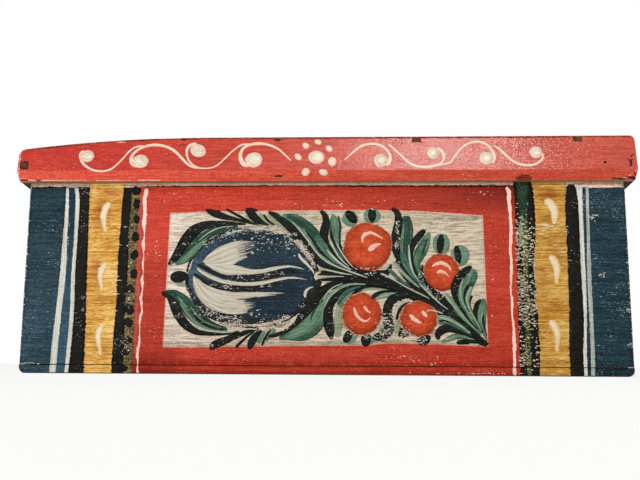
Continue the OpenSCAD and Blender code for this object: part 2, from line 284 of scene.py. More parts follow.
def paint(name, tones, ground="#DCD2BE", wear=0.0, gloss=0.45, along="X", streaks=0.0, glaze=None,
          drift=None, shine=0.06, curl=0.2, dry=False, cloud=(38, 26, 20), mottle=0.42,
          relief=0.12, grit=0.0, speck=0.45):
    """Tones run from the dark of the grain to its light; drift darkens the left or the right.
    A dry stroke is lost in streaks along the brush, and others in flakes. Mottle is the share of the
    broad clouds in the tone, speck that of the finest spots, and grit that of grains in the relief."""
    material = blank_material(name)
    tree = material.node_tree
    place = add(tree, "TexCoord").outputs["Object"]
    turned = (lambda x, y, z: (y, x, z)) if along == "Y" else (lambda x, y, z: (x, y, z))
    short = add(tree, "Mapping", {"Vector": place, "Scale": per_mm(*turned(*DASH))})
    dash = add(tree, "TexNoise", {"Vector": short.outputs[0], "Scale": 1.0, "Detail": 3.0,
                                  "Roughness": 0.6, "Distortion": curl})
    level = add(tree, "Mapping", {"Vector": place, "Scale": per_mm(*turned(*LINE))})
    grain = add(tree, "TexNoise",
                {"Vector": level.outputs[0], "Scale": 1.0, "Detail": 3.0, "Roughness": 0.6})
    wide = add(tree, "Mapping", {"Vector": place, "Scale": per_mm(*cloud)})
    broad = add(tree, "TexNoise", {"Vector": wide.outputs[0], "Scale": 1.0, "Detail": 3.0})
    small = add(tree, "Mapping", {"Vector": place, "Scale": per_mm(*turned(*FLAKE))})
    flake = add(tree, "TexNoise",
                {"Vector": small.outputs[0], "Scale": 1.0, "Detail": 4.0, "Roughness": 0.6})
    brush = add(tree, "Attribute", attribute_name="brush")
    hairs = add(tree, "Mapping", {"Vector": brush.outputs["Vector"],
                                  "Scale": (1 / BRISTLE[0], 1 / BRISTLE[1], 1.0)})
    streak = add(tree, "TexNoise", {"Vector": hairs.outputs[0], "Scale": 1.0, "Detail": 3.0})
    calm = add(tree, "Mix", {0: mottle, 2: grain.outputs["Fac"], 3: broad.outputs["Fac"]})
    wood = add(tree, "Mix", {0: 0.85 * (1 - mottle), 2: calm.outputs[0], 3: dash.outputs["Fac"]})
    fine = add(tree, "Mix", {0: speck, 2: wood.outputs[0], 3: flake.outputs["Fac"]})
    tone = add(tree, "Mix", {0: streaks, 2: fine.outputs[0], 3: streak.outputs["Fac"]})
    ramp = add(tree, "ValToRGB", {0: tone.outputs[0]})
    for stop, colour in zip(TONE_STOPS, tones):
        mark = ramp.color_ramp.elements.new(stop)
        mark.color = linear(colour)
    ramp.color_ramp.elements.remove(ramp.color_ramp.elements[0])
    ramp.color_ramp.elements.remove(ramp.color_ramp.elements[-1])
    pigment = ramp.outputs[0]
    if drift:
        left, right, from_x, to_x = drift
        across = add(tree, "SeparateXYZ", {0: place})
        share = add(tree, "MapRange",
                    {"Value": across.outputs[0], "From Min": from_x * MM, "From Max": to_x * MM})
        veil = add(tree, "Mix", {0: share.outputs[0], 6: linear(left), 7: linear(right)},
                   data_type="RGBA")
        pigment = add(tree, "Mix", {0: 1.0, 6: pigment, 7: veil.outputs[2]}, data_type="RGBA",
                      blend_type="MULTIPLY").outputs[2]
    if glaze:
        coat = add(tree, "Attribute", attribute_name="glaze")
        pigment = add(tree, "Mix", {0: coat.outputs["Fac"], 6: pigment, 7: linear(glaze)},
                      data_type="RGBA", blend_type="MULTIPLY").outputs[2]
    patchy = add(tree, "Mapping", {"Vector": place, "Scale": per_mm(*PATCH)})
    patch = add(tree, "TexNoise", {"Vector": patchy.outputs[0], "Scale": 1.0, "Detail": 1.0})
    rubbed = add(tree, "Attribute", attribute_name="wear")
    loss = streak if dry else flake
    loose = add(tree, "Math", {0: patch.outputs["Fac"], 1: PER_PATCH, 2: loss.outputs["Fac"]},
                operation="MULTIPLY_ADD")
    level_loose = add(tree, "Math", {0: dash.outputs["Fac"], 1: PER_PATCH, 2: loose.outputs[0]},
                      operation="MULTIPLY_ADD")
    looser = add(tree, "Math", {0: rubbed.outputs["Fac"], 1: PER_WEAR, 2: level_loose.outputs[0]},
                 operation="MULTIPLY_ADD")
    start, fade = LOSS_OF_STREAKS if dry else LOSS_OF_FLAKES
    edge = start - PER_WEAR * wear
    gone = add(tree, "MapRange", {"Value": looser.outputs[0], "From Min": edge, "From Max": edge + fade})
    colour = add(tree, "Mix", {0: gone.outputs[0], 6: pigment, 7: linear(ground)}, data_type="RGBA")
    gleam = add(tree, "MapRange",
                {"Value": dash.outputs["Fac"], "To Min": gloss - 0.12, "To Max": gloss + 0.12})
    matt = add(tree, "Mix", {0: gone.outputs[0], 2: gleam.outputs[0], 3: 0.8})
    height = add(tree, "Math", {0: gone.outputs[0], 1: -0.5, 2: tone.outputs[0]},
                 operation="MULTIPLY_ADD")
    ridges = add(tree, "Math", {0: dash.outputs["Fac"], 1: 1.0, 2: height.outputs[0]},
                 operation="MULTIPLY_ADD")
    if grit:
        coarse = add(tree, "Mapping", {"Vector": place, "Scale": per_mm(*GRIT)})
        grains = add(tree, "TexNoise", {"Vector": coarse.outputs[0], "Scale": 1.0, "Detail": 3.0})
        ridges = add(tree, "Math", {0: grains.outputs["Fac"], 1: grit, 2: ridges.outputs[0]},
                     operation="MULTIPLY_ADD")
    bump = add(tree, "Bump", {"Height": ridges.outputs[0], "Strength": 0.5, "Distance": relief * MM})
    surface = add(tree, "BsdfPrincipled", {"Base Color": colour.outputs[2], "Roughness": matt.outputs[0],
                                           "Specular IOR Level": shine, "Normal": bump.outputs[0]})
    add(tree, "OutputMaterial", {"Surface": surface.outputs[0]})
    return material


print("paint patterns in millimetres:", DASH, LINE, FLAKE, PATCH)

# %% [markdown]
# The reds and blues of the boards. One red for the whole lid would be simpler, but its top, rim and
# worn edges have darkened and faded each in its own way, so each has tones of its own. The face and
# the chamfer have reds of their own as well: the chamfer's is lighter, which is painted light, and it
# darkens to the right, which is painted shade, while the face turns paler to the right, in part a
# painted sheen beside the lamp's glare. The three tones run from dark to light, ground is the colour
# that shows where paint is lost, and drift is a slow change from left to right.

# %% Paint on the boards
FLESH = "#EDC4B0"
RED_FRONT = paint("red oil paint, front", ("#A62C1C", "#C63F2D", "#DA5442"), ground=FLESH, wear=0.3,
                  glaze="#A08C84", drift=("#FFFFFF", "#E8E8E0", -90, 110))
# Redder on the left and paler to the right: in part a painted sheen beside the lamp's glare.
RED_LID = paint("red oil paint, lid face", ("#A83521", "#C04731", "#D45C45"), ground=FLESH, gloss=0.2,
                wear=0.12, shine=0.34, relief=0.07, grit=5.0, speck=0.3,
                drift=("#FF9868", "#FFFFFF", -130, 40))
# Lighter than the face's red, which is painted light, and darker to the right, which is painted shade.
RED_CHAMFER = paint("red oil paint, lid chamfer", ("#C23A28", "#DA4F3B", "#EC6A56"), ground=FLESH,
                    gloss=0.35, drift=("#FFFFFF", "#DEE6DC", -120, 60), wear=0.2, shine=0.1)
RED_TOP = paint("red oil paint, lid top", ("#A02E1E", "#BC3D2C", "#C94E3C"), ground="#C9A27C", wear=0.3,
                shine=0.12)
# A darker red on the rounded arrises of the front moulding.
RED_RIM = paint("darkened red rim", ("#5E281E", "#86402F", "#AE6656"), ground="#B89080", wear=0.5,
                gloss=0.5)
RED_EDGE = paint("worn red edge", ("#7A2618", "#A63826", "#C65240"), ground="#D9AE94", wear=0.8,
                 gloss=0.5)
BLUE_END = paint("dark blue oil paint, ends", ("#1A2D36", "#253A44", "#354B56"), ground="#B9AC96",
                 along="Y", wear=0.34)
BLUE_EDGE = paint("worn blue edge", ("#1A2D36", "#263B45", "#3C525C"), ground="#D8CDBB", wear=0.85,
                  gloss=0.5)
print("paint on the boards:", RED_LID.name, "/", BLUE_END.name)

# %% [markdown]
# The boards: each is a copy of its solid, joined up from loose triangles, with flat triangles
# dissolved. Knife and hand have rounded the long arrises. A Bevel modifier would round all of them
# alike, so the edges are picked by where they lie: free ones are beveled by about a millimetre and the
# ones inside a joint by a third of that, which leaves a fine line between boards. The faces then get
# wood or paint by where they lie, and the borders between two finishes stay sharp.

# %% Softened boards
MERGE, FLAT, CREASE = 0.001 * MM, math.radians(0.4), math.radians(12)
FREE_EDGE, JOINT_EDGE, SHORTEST, LEAST_BEND = 0.9 * MM, 0.3 * MM, 9 * MM, 0.2
TOUCH, LID_TOP, BEHIND_MOULDING = 0.1 * MM, 132 * MM, -105 * MM
FACING, LEANING = 0.9, 0.5
BARE, PAINTED, ROUNDED, SEATED, OWN = range(5)
RIGID = {"box": (Vector((-183, -105, 0)) * MM, Vector((183, 105, 131.8)) * MM),
         "lid": (Vector((-189.3, -111.3, 114.5)) * MM, Vector((189.3, 115, 144.3)) * MM)}


def free_arris(edge, node, body):
    """An arris is free where it lies on two outer sides of its body, or along the lid's top, but the
    front edge of the lid board lies against the moulding on its whole length."""
    low, high = RIGID[body]
    middle = (edge.verts[0].co + edge.verts[1].co) / 2
    sides = sum(min(abs(middle[i] - low[i]), abs(middle[i] - high[i])) < TOUCH for i in range(3))
    if node == "lid_board" and middle.y < BEHIND_MOULDING:
        return False
    return sides >= 2 or (body == "lid" and middle.z > LID_TOP and sides >= 1)


def softened(node, body, materials, choose):
    """Copies a solid with worn arrises. Its materials are, in turn, for bare wood, paint, free arrises,
    arrises in a joint and a finish of its own, and choose(face) picks one for each flat face."""
    bm = bmesh.new()
    bm.from_mesh(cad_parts[node].data)
    bmesh.ops.remove_doubles(bm, verts=bm.verts, dist=MERGE)
    bmesh.ops.dissolve_limit(bm, angle_limit=FLAT, verts=bm.verts, edges=bm.edges)
    for radius, wanted in ((FREE_EDGE, True), (JOINT_EDGE, False)):
        edges = [e for e in bm.edges if e.is_manifold and e.is_convex and e.calc_length() > SHORTEST
                 and e.calc_face_angle() > LEAST_BEND and free_arris(e, node, body) == wanted]
        if wanted:
            rounded = len(edges)
        made = bmesh.ops.bevel(bm, geom=edges, offset=radius, offset_type="OFFSET", affect="EDGES",
                               segments=3 if wanted else 1, profile=0.5, material=-1, clamp_overlap=True)
        for face in made["faces"]:
            face.material_index = ROUNDED if wanted else SEATED
    bmesh.ops.dissolve_degenerate(bm, dist=MERGE, edges=bm.edges)
    for face in bm.faces:
        if face.material_index == BARE:
            face.material_index = choose(face)
        face.smooth = face.material_index in (PAINTED, ROUNDED)
    for edge in bm.edges:
        finishes = {face.material_index for face in edge.link_faces}
        flat = len(finishes) == 1 and edge.calc_face_angle(math.pi) < CREASE
        edge.smooth = finishes == {ROUNDED} or flat
    mesh = bpy.data.meshes.new(node + "_worn")
    bm.to_mesh(mesh)
    bm.free()
    for material in materials:
        mesh.materials.append(material)
    piece = bpy.data.objects.new(node + "_worn", mesh)
    bpy.context.scene.collection.objects.link(piece)
    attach(piece, body)
    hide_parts(node)
    print(node, "with", rounded, "free arrises,", len(mesh.polygons), "faces")
    return piece


print("free arrises", round(FREE_EDGE / MM, 2), "mm, in a joint", round(JOINT_EDGE / MM, 2), "mm")

# %% [markdown]
# The box: blue on both ends, bare pine at the back and inside, and in front weathered wood that the
# painting will cover. A small function for each board looks at one face, the way it looks and where it
# lies, and picks its finish. Painting the faces one by one would be lost each time the solids are made
# again.

# %% The boards of the box
def looks_out(face, reach):
    """True where a face looks to the left or the right and lies at least so far from the middle."""
    return abs(face.normal.x) > FACING and abs(face.calc_center_median().x) > reach * MM


def board_ends(face):
    """Front and back board: blue paint on the two ends."""
    return PAINTED if looks_out(face, 182) else BARE


def front_faces(face):
    """The front board also has weathered wood in front, under the painting."""
    in_front = face.normal.y < -FACING and face.calc_center_median().y < -104.5 * MM
    return OWN if in_front else board_ends(face)


def end_faces(sign):
    """An end board is blue on the face that looks out to its side."""
    return lambda face: PAINTED if looks_out(face, 80) and face.normal.x * sign > 0 else BARE


def bottom_faces(face):
    """Bottom board: its worn ends carry on the blue of the end boards, and its front edge is handled."""
    if abs(face.normal.x) > 0.3 and abs(face.calc_center_median().x) > 178 * MM:
        return PAINTED
    return OWN if face.normal.y < -FACING else BARE


softened("front_board", "box", (PINE, BLUE_END, BLUE_EDGE, DIRT, WEATHERED), front_faces)
softened("back_board", "box", (PINE, BLUE_END, PINE, DIRT), board_ends)
for side, sign in (("left", -1), ("right", 1)):
    softened(side + "_end_board", "box", (PINE_ENDS, BLUE_END, BLUE_EDGE, DIRT),
             end_faces(sign))
softened("bottom_board", "box", (PINE, BLUE_END, HANDLED, DIRT, HANDLED), bottom_faces)

# %% [markdown]
# The lid is red outside and bare below. Its front moulding has a leaning face and a chamfer under it,
# which catch the light differently, so each has a red of its own. The side mouldings hang lower, and
# their undersides are a dark brown. Faces are picked by the way they look and not by number, which
# still holds along the arc on the left, where the top is made of many of them.

# %% The boards of the lid
def lid_faces(face):
    """Lid board: red on top."""
    return PAINTED if face.normal.z > LEANING and face.calc_center_median().z > 136 * MM else BARE


def moulding_faces(face):
    """Front moulding: red in front and on top, its own tone on the chamfer, bare behind and below."""
    if face.normal.y > LEANING:
        return BARE
    if face.normal.z < -0.1 and face.normal.y < -LEANING:
        return OWN
    return BARE if face.normal.z < -LEANING else PAINTED


def side_faces(sign):
    """Side moulding: red outside and on top, dark brown below, bare inside."""
    return lambda face: PAINTED if face.normal.x * sign > LEANING or face.normal.z > LEANING else (
        OWN if face.normal.z < -LEANING else BARE)


softened("lid_board", "lid", (PINE, RED_TOP, RED_EDGE, DIRT), lid_faces)
softened("front_moulding", "lid", (PINE, RED_LID, RED_RIM, RED_EDGE, RED_CHAMFER),
         moulding_faces)
for side, sign in (("left", -1), ("right", 1)):
    softened(side + "_moulding", "lid", (PINE_ENDS, RED_TOP, RED_EDGE, RED_EDGE, DARK_UNDERSIDE),
             side_faces(sign))

# %% [markdown]
# Nails, pegs and hinge eyes are small and have no painted edges to wear, so they keep their solids and
# only get a finish: iron for the nails and eyes, and for the pegs a darker wood with finer lines, as
# the end of a split peg shows.

# %% Finish of the nails, pegs and eyes
PEG = aged_pine("split peg, end grain", "#A98052", "#6B4A2C", grain=0.9)
for name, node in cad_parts.items():
    if not node.hide_render:
        node.data.materials.clear()
        node.data.materials.append(PEG if "peg" in name else IRON)
print("iron and pegs:", sum(not n.hide_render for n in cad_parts.values()), "nodes")

# %% [markdown]
# The painting is laid on as films of paint, thinner than a tenth of a millimetre, one over another. It
# could be drawn as masks in a shader, but a film has an edge of its own, overlaps the one below and can
# wear by itself, as paint does. A film starts as a grid. A stroke bends that grid along a curve through
# a few points, each with the width to which the brush was pressed there, and a dab wraps it round a
# middle. The films follow the front board or the lid's leaning face, and are extruded to their
# thickness at the end. Each piece of painting names its paint and its height over the wood, so that a
# later coat lies on an earlier one. All places and sizes are in millimetres.

# %% Where the paint lies
FRONT_Y, LID_Y, ARRIS_Z = -105.0, -111.3, 123.2
LEAN, CHAMFER = 1.0 / 21.1, 1.6 / 6.4


def on_front(x, z, lift):
    """A place on the front of the box, lifted off the wood."""
    return Vector((x, FRONT_Y - lift, z)) * MM


def on_lid(x, z, lift):
    """A place on the lid's front: the leaning face over the arris, and the chamfer under it."""
    back = (z - ARRIS_Z) * LEAN if z > ARRIS_Z else (ARRIS_Z - z) * CHAMFER
    return Vector((x, LID_Y + back - lift, z)) * MM


lean, chamfer = (round(math.degrees(math.atan(slope)), 1) for slope in (LEAN, CHAMFER))
print("the lid's face leans by", lean, "degrees and its chamfer by", chamfer)

# %% [markdown]
# The marks that a brush can make. All of them start from a grid or a circle of bmesh's own, whose
# points are then put in place. A stroke has rounded ends, or square ones where a wide brush drew a
# band. Its edges tremble with the hand and may be ragged where the grain frays them: both are smooth
# noise, because a random number at each point would look like a saw.

# %% Strokes, dabs and flakes
CROWN = 0.02
ROW, RAGGED_ROW, COLUMN, THINNEST, AHEAD = 1.1, 0.6, 2.5, 0.1, 0.01


def along(points, t):
    """Smooth curve through hand-set points (x, z, width), read at t from 0 to 1."""
    s = t * (len(points) - 1)
    i = min(int(s), len(points) - 2)
    u = s - i
    b, c = Vector(points[i]), Vector(points[i + 1])
    a = Vector(points[i - 1]) if i > 0 else 2 * b - c
    d = Vector(points[i + 2]) if i + 2 < len(points) else 2 * c - b
    bend = (2 * a - 5 * b + 4 * c - d) * u ** 2 + (3 * b - a - 3 * c + d) * u ** 3
    return b + 0.5 * ((c - a) * u + bend)


def lay(film, rows, columns, shape):
    """Lays a grid of paint: shape(t, v) gives x, z and how far along and across the brush went."""
    bm, lift = film["bm"], film["lift"]
    brush = bm.verts.layers.float_vector["brush"]
    for vert in bmesh.ops.create_grid(bm, x_segments=rows, y_segments=columns, size=1.0)["verts"]:
        v = vert.co.y
        x, z, far, side = shape((vert.co.x + 1) / 2, v)
        vert[brush] = (far, side, lift * 100)
        for name in ("wear", "glaze"):
            share = film[name]
            vert[bm.verts.layers.float[name]] = share(x, z, v) if callable(share) else share
        vert.co = film["surface"](x, z, lift + CROWN * (1 - v * v))


def stroke(film, points, square=False, tremble=0.14, ragged=0.0, tilt=(0, 0)):
    """One stroke through (x, z, width) points in millimetres; square ends may tilt by some more."""
    length = sum((Vector(b[:2]) - Vector(a[:2])).length for a, b in zip(points, points[1:]))
    first, last = points[0][2] / 2, points[-1][2] / 2
    upright = abs(points[-1][1] - points[0][1]) > abs(points[-1][0] - points[0][0])

    def shape(t, v):
        """A square stroke runs level or upright, and a round one turns and thins at both ends."""
        t = t if square else 0.5 - 0.5 * math.cos(math.pi * t)
        x, z, width = along(points, t)
        ahead = along(points, min(1, t + AHEAD)) - along(points, max(0, t - AHEAD))
        if square:
            ahead = (0, 1) if upright else (1, 0)
            x += v * (tilt[0] * (1 - t) + tilt[1] * t)
        side = Vector((-ahead[1], ahead[0])).normalized()
        reach = max(width, THINNEST) / 2
        if not square:
            start, stop = min(1, t * length / first), min(1, (1 - t) * length / last)
            reach *= math.sqrt(1 - (1 - start) ** 2) * math.sqrt(1 - (1 - stop) ** 2)
        shake = tremble * noise.noise((x * 0.35, z * 0.35, 9 * v)) * min(1, reach)
        shake += ragged * noise.noise((x * 0.6, z * 1.1, 5 * v + 40))
        reach += shake * v * v
        return x + side.x * v * reach, z + side.y * v * reach, t * length, v * reach

    rows = min(200, round(length / RAGGED_ROW)) if ragged else min(110, round(length / ROW))
    widest = max(width for _, _, width in points)
    lay(film, max(8, rows), max(4, min(24, round(widest / COLUMN))), shape)


def dab(film, x, z, wide, high, turn=0.0, tremble=0.06):
    """One round dab of paint, wide by high millimetres, turned by an angle in degrees."""
    cos, sin = math.cos(math.radians(turn)), math.sin(math.radians(turn))

    def shape(t, v):
        """The grid is wrapped round the middle, with an uneven edge."""
        angle, radius = 2 * math.pi * t, (v + 1) / 2
        lobe = noise.noise((2 * math.cos(angle) + x, 2 * math.sin(angle) + z, 0.5))
        lobe += 0.4 * noise.noise((7 * math.cos(angle) + x, 7 * math.sin(angle) + z, 4.5))
        reach = radius * (1 + tremble * lobe) / 2
        p, q = math.cos(angle) * reach * wide, math.sin(angle) * reach * high
        return x + p * cos - q * sin, z + p * sin + q * cos, p, q

    lay(film, max(16, min(110, round(wide + high) * 2)), max(2, min(16, round(wide / COLUMN))), shape)


def flake(film, x, z, wide, high, turn, seed):
    """One lost flake: an uneven six-sided spot."""
    made = bmesh.ops.create_circle(film["bm"], cap_ends=True, segments=6, radius=0.5)["verts"]
    cos, sin = math.cos(math.radians(turn)), math.sin(math.radians(turn))
    for vert in made:
        bite = 1 + 0.9 * noise.noise((vert.co.x * 3 + seed, vert.co.y * 3, seed * 0.7))
        p, q = vert.co.x * wide * bite, vert.co.y * high * bite
        vert.co = film["surface"](x + p * cos - q * sin, z + p * sin + q * cos, film["lift"])


print("a stroke has a row of points each", ROW, "mm, or each", RAGGED_ROW, "mm where it is ragged")

# %% [markdown]
# A piece of painting is all that one brush load of a colour does at one height. It is started, takes
# any number of marks, and is then left to dry: points that meet are merged, a gap is cut open where two
# boards meet, and the film gets its thickness. Joining the marks of one colour keeps the scene to a few
# dozen pieces. Each rides on the box or on the lid.

# %% A piece of painting
FILM, FINEST = 0.03, 0.004 * MM


def unit(value):
    """Holds a value between 0 and 1, for shares of wear and glaze."""
    return max(0.0, min(1.0, value))


def films(name, material, lift, body="box", slot="painted_front", surface=on_front, wear=0.0, glaze=0.0):
    """Starts a piece of painting: films of one paint that lie at one height over the wood."""
    bm = bmesh.new()
    bm.verts.layers.float_vector.new("brush")
    bm.verts.layers.float.new("wear")
    bm.verts.layers.float.new("glaze")
    return {"bm": bm, "surface": surface, "lift": lift, "name": name, "material": material, "body": body,
            "slot": slot, "wear": wear, "glaze": glaze}


def dry(film, joint=None):
    """Ends a piece of painting: merges, opens the board joint, gives thickness and rides on its body."""
    bm = film["bm"]
    bmesh.ops.remove_doubles(bm, verts=bm.verts, dist=FINEST)
    for height in joint or ():
        whole = bm.verts[:] + bm.edges[:] + bm.faces[:]
        bmesh.ops.bisect_plane(bm, geom=whole, plane_co=(0, 0, height * MM), plane_no=(0, 0, 1),
                               dist=1e-8)
    if joint:
        gap = [f for f in bm.faces if joint[0] * MM < f.calc_center_median().z < joint[1] * MM]
        bmesh.ops.delete(bm, geom=gap, context="FACES")
    bmesh.ops.dissolve_degenerate(bm, edges=bm.edges, dist=FINEST)
    inner = bmesh.ops.extrude_face_region(bm, geom=bm.faces[:], use_keep_orig=True)["geom"]
    inner = [part for part in inner if isinstance(part, bmesh.types.BMVert)]
    bmesh.ops.translate(bm, verts=inner, vec=(0, FILM * MM, 0))
    bmesh.ops.recalc_face_normals(bm, faces=bm.faces)
    mesh = bpy.data.meshes.new(film["name"])
    bm.to_mesh(mesh)
    bm.free()
    mesh.materials.append(film["material"])
    mesh.shade_smooth()
    made = bpy.data.objects.new(film["name"], mesh)
    bpy.context.scene.collection.objects.link(made)
    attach(made, film["body"])
    print(film["name"], "with", len(mesh.polygons), "faces")


def strokes(name, material, lift, lines=(), dabs=(), joint=None, kind=None, wear=0.0, glaze=0.0, **hand):
    """A whole piece of painting at once, from lists of strokes and dabs."""
    film = films(name, material, lift, wear=wear, glaze=glaze, **(kind or {}))
    for points in lines:
        stroke(film, points, **hand)
    for values in dabs:
        dab(film, *values)
    dry(film, joint)


print("films are", FILM, "mm thick")

# %% [markdown]
# The ground of the front: a red field between bands of dark blue, black, ochre and olive, drawn down by
# a free hand, so no edge is quite straight, and the grain frays each one. Plain rectangles would look
# printed, so a band is one wide stroke with noise along its edges, from the foot of the box to just
# under the lid, where the wood was left bare. It crosses the line between the bottom board and the
# front board, where the paint has cracked open and dirt has settled.

# %% Red field and dark lines
CRACK = (5.0, 5.45)
TOP = 114.4
BAND = {"square": True, "joint": CRACK}
# One dark paint for two marks: the dirt in the board joint, and the painted shadow along the top of the
# red field under the lid.
DIRT_AND_SHADOW = paint("settled dirt and painted shadow", ("#150D09", "#22170F", "#3A281C"), shine=0.0)


def darkened_red(x, z, v):
    """The red has darkened most along the top on the right, along the foot and low on the left."""
    right = 0.35 * unit((x + 24) / 10) + 0.65 * unit((x - 40) / 60)
    corner = right * unit((z - 95) / 12)
    foot = max(0.0, 1 - z / 17) * (0.5 if x > 40 else 1.0)
    left = unit((-80 - x) / 10) * unit((76 - z) / 16)
    return min(1.0, 0.75 * corner + 0.5 * foot + 0.36 * left)


strokes("joint_dirt", DIRT_AND_SHADOW, 0.01, [[(-179, 5.2, 0.9), (0, 5.2, 0.9), (179, 5.2, 0.9)]], square=True)
strokes("red_field", RED_FRONT, 0.04, [[(-114.5, 57.6, 114), (-40, 57.8, 114.4), (40, 57.7, 114.2),
                                        (117.5, 57.6, 114.4)]], tremble=0.5, glaze=darkened_red, **BAND)
# A dark line painted along the top of the red field, just under the lid's overhang: painted shadow.
strokes("lid_shadow_line", DIRT_AND_SHADOW, 0.09, [
    [(-110, 114.6, 0.5), (-60, 114.7, 0.6), (-20, 114.8, 0.4), (20, 114.6, 0.9), (60, 114.5, 0.8),
     (90, 114.4, 1), (112, 114.2, 0.7)], [(-182, 114.2, 0.8), (-172, 114.1, 1.2), (-160, 114.3, 0.6)]],
    tremble=0.6, ragged=0.7)

# %% [markdown]
# The bands stand, from the left corner inwards, in dark blue, mid blue, black, ochre, black and olive,
# and on the right in nearly the same order. Each colour is a piece of its own. Old varnish has turned
# brown and darkens the blue slowly along its height and the ochre in patches. That glaze could be one
# more film, but as an attribute of the grid's points it fades without an edge. At the foot the blue
# keeps to the worn outline of the bottom board.

# %% Bands
BLUE = paint("dark blue oil paint", ("#14272F", "#29414D", "#486370"), ground="#A9B4B2", wear=0.4,
             glaze="#B4C4C0")
MID_BLUE = paint("mid blue oil paint", ("#20394A", "#335364", "#4A6C7E"), ground="#C9CFCB", wear=0.3,
                 glaze="#8C9AA2")
OCHRE = paint("ochre oil paint", ("#A96C1C", "#DCA545", "#FAD98A"), ground="#FBEBC8", wear=0.4,
              speck=0.12, cloud=(16, 14, 14), glaze="#C0764E", drift=("#FFFFFF", "#E0DDD0", -100, 100),
              curl=1.6)
BLACK = paint("lamp black oil paint", ("#080705", "#11100C", "#24211A"), ground="#D2C8B2", wear=0.32)
OLIVE = paint("olive oil paint", ("#2C2A10", "#5E5432", "#A08F62"), ground="#B5A878", wear=0.5,
              cloud=(4, 4, 7), mottle=0.55)
FOOT_ROUND, FOOT_LOW, FOOT_RISE = 4.0, 0.3, 4.5
BLUE_INNER, BLUE_WIDE = 160, 22.6


def rounded_foot(z):
    """How far an end of the bottom board is worn back at a height."""
    return FOOT_ROUND - math.sqrt(max(0.0, FOOT_ROUND ** 2 - max(0.0, FOOT_ROUND - z) ** 2)) + 0.3


def dulled(x, z, v):
    """The blue is darkest at the top on the left, and at the foot on the right."""
    return unit((z - 30) / 60) if x < 0 else max(0.6, min(1.0, (110 - z) / 70))


def blue_foot(side):
    """The blue on one end of the bottom board, which keeps to its worn outline."""
    def shape(t, v):
        """From the inner edge of the band to the outline of the board, at each height."""
        z = FOOT_LOW + FOOT_RISE * t
        return side * (BLUE_INNER + (BLUE_WIDE - rounded_foot(z)) * (v + 1) / 2), z, t * 4, v * 11
    return shape


film = films("blue_bands", BLUE, 0.04, glaze=dulled)
for points in ([(-171.8, 5.7, 21.2), (-171.4, 60, 22), (-171, TOP, 22.2)],
               [(171.4, 5.7, 22.2), (171.6, 60, 22.2), (171.6, 113.2, 22)],
               [(157, 0.4, 6), (157.5, 60, 6), (158, TOP, 6)]):
    stroke(film, points, square=True, tremble=0.3, ragged=0.5)
for side in (-1, 1):
    lay(film, 14, 12, blue_foot(side))
dry(film, CRACK)
strokes("mid_blue_band", MID_BLUE, 0.03, [[(-157, 0.4, 8), (-157, 60, 8), (-157, TOP - 0.5, 8)]],
        glaze=lambda x, z, v: unit((z - 20) / 70), **BAND)
GLAZED = ((-137, 98, 5, 9, 0.9), (-130, 110.6, 7, 2.4, 0.8), (-139, 63, 4, 8, 0.7), (-131, 14, 5, 8, 0.4),
          (-134, 44, 8, 5, 0.35), (137, 109, 9, 3, 0.8), (136, 92, 6, 5, 0.45), (131.6, 57, 5, 8, 0.4),
          (136, 40, 8, 4, 0.3), (141, 76, 4, 6, 0.4), (133, 8, 6, 5, 0.3))


def red_brown(x, z, v):
    """Patches of a red-brown glaze on the ochre: middle, reach both ways and strength."""
    spots = (s * math.exp(-((x - a) / w) ** 2 - ((z - b) / h) ** 2) for a, b, w, h, s in GLAZED)
    return min(1.0, sum(spots))


strokes("ochre_bands", OCHRE, 0.04, [
    [(-134.5, 0.4, 18.6), (-134.6, 40, 19.4), (-134.8, 85, 20.8), (-134, 105, 22.5), (-133.9, 116.4, 22)],
    [(136.8, 0.4, 19), (137.2, 40, 20), (137.4, 80, 20.4), (137, 105, 20.4), (137, 116.6, 21.4)]],
    tremble=0.3, ragged=0.5, glaze=red_brown, **BAND)
strokes("black_bands", BLACK, 0.08, [
    [(-147.8, 0.4, 9.4), (-147.4, 30, 7.6), (-148.2, 60, 8), (-148.2, 100, 6.4), (-148.8, TOP, 7.2)],
    [(-123, 0.4, 7.2), (-122.8, 20, 6.8), (-122.7, 40, 5.6), (-122.3, 60, 6.2), (-122.2, 85, 5.6),
     (-121.6, 105, 5.6), (-121.3, 113.9, 5)],
    [(149.6, 0.4, 8), (149.7, 20, 8.2), (150.8, 40, 8.4), (150.7, 100, 7.9), (150.7, 110, 6.6),
     (150.8, 115.2, 4)]], tremble=0.2, ragged=0.75, **BAND)
strokes("olive_band", OLIVE, 0.06, [
    [(-117.2, 0.4, 6.4), (-117, 40, 6.2), (-116.6, 80, 5.4), (-116.6, 113.6, 5)]],
    tremble=0.4, ragged=0.6, **BAND)
MARGIN = paint("pink-red margin", ("#A0382E", "#B44A3E", "#C66456"), ground="#8A7F52", wear=0.4)
strokes("pink_margin", MARGIN, 0.07, [
    [(-112.4, 12, 1.6), (-112.6, 40, 2.4), (-112.6, 70, 3), (-112.4, 98, 3.4), (-112.2, 110, 2)]],
    tremble=0.4, ragged=0.5)
strokes("left_dark_spots", BLACK, 0.12, dabs=[
    (x, z, wide, high, turn, 0.34) for x, z, wide, high, turn in (
        (-116, 111.6, 6, 6, 0), (-115.3, 103.5, 4.2, 6.2, 0), (-114.9, 94, 4, 5.6, 10),
        (-115.4, 82.8, 4.4, 6.4, 0), (-115.4, 71.8, 5, 6.6, -8), (-115.3, 60.2, 4.6, 6.4, 12),
        (-117.2, 51, 5.4, 6, 30), (-117.4, 38.4, 6, 7, 20), (-117.4, 30.6, 6, 5.4, -20),
        (-117.3, 19.8, 5, 5.2, 25), (-117.8, 12.8, 5, 4.6, 0), (-119, 3.2, 5, 3.6, 0))])

# %% [markdown]
# The dark band on the right is a black stroke with green down its middle. Much of it has come off in
# slivers along the grain. The wear in the material gives round spots, so hundreds of small level flakes
# in the colour of the ground lie on it as well. Its upper end runs over the bare strip and onto the
# lid's chamfer, as if retouched with the lid closed.

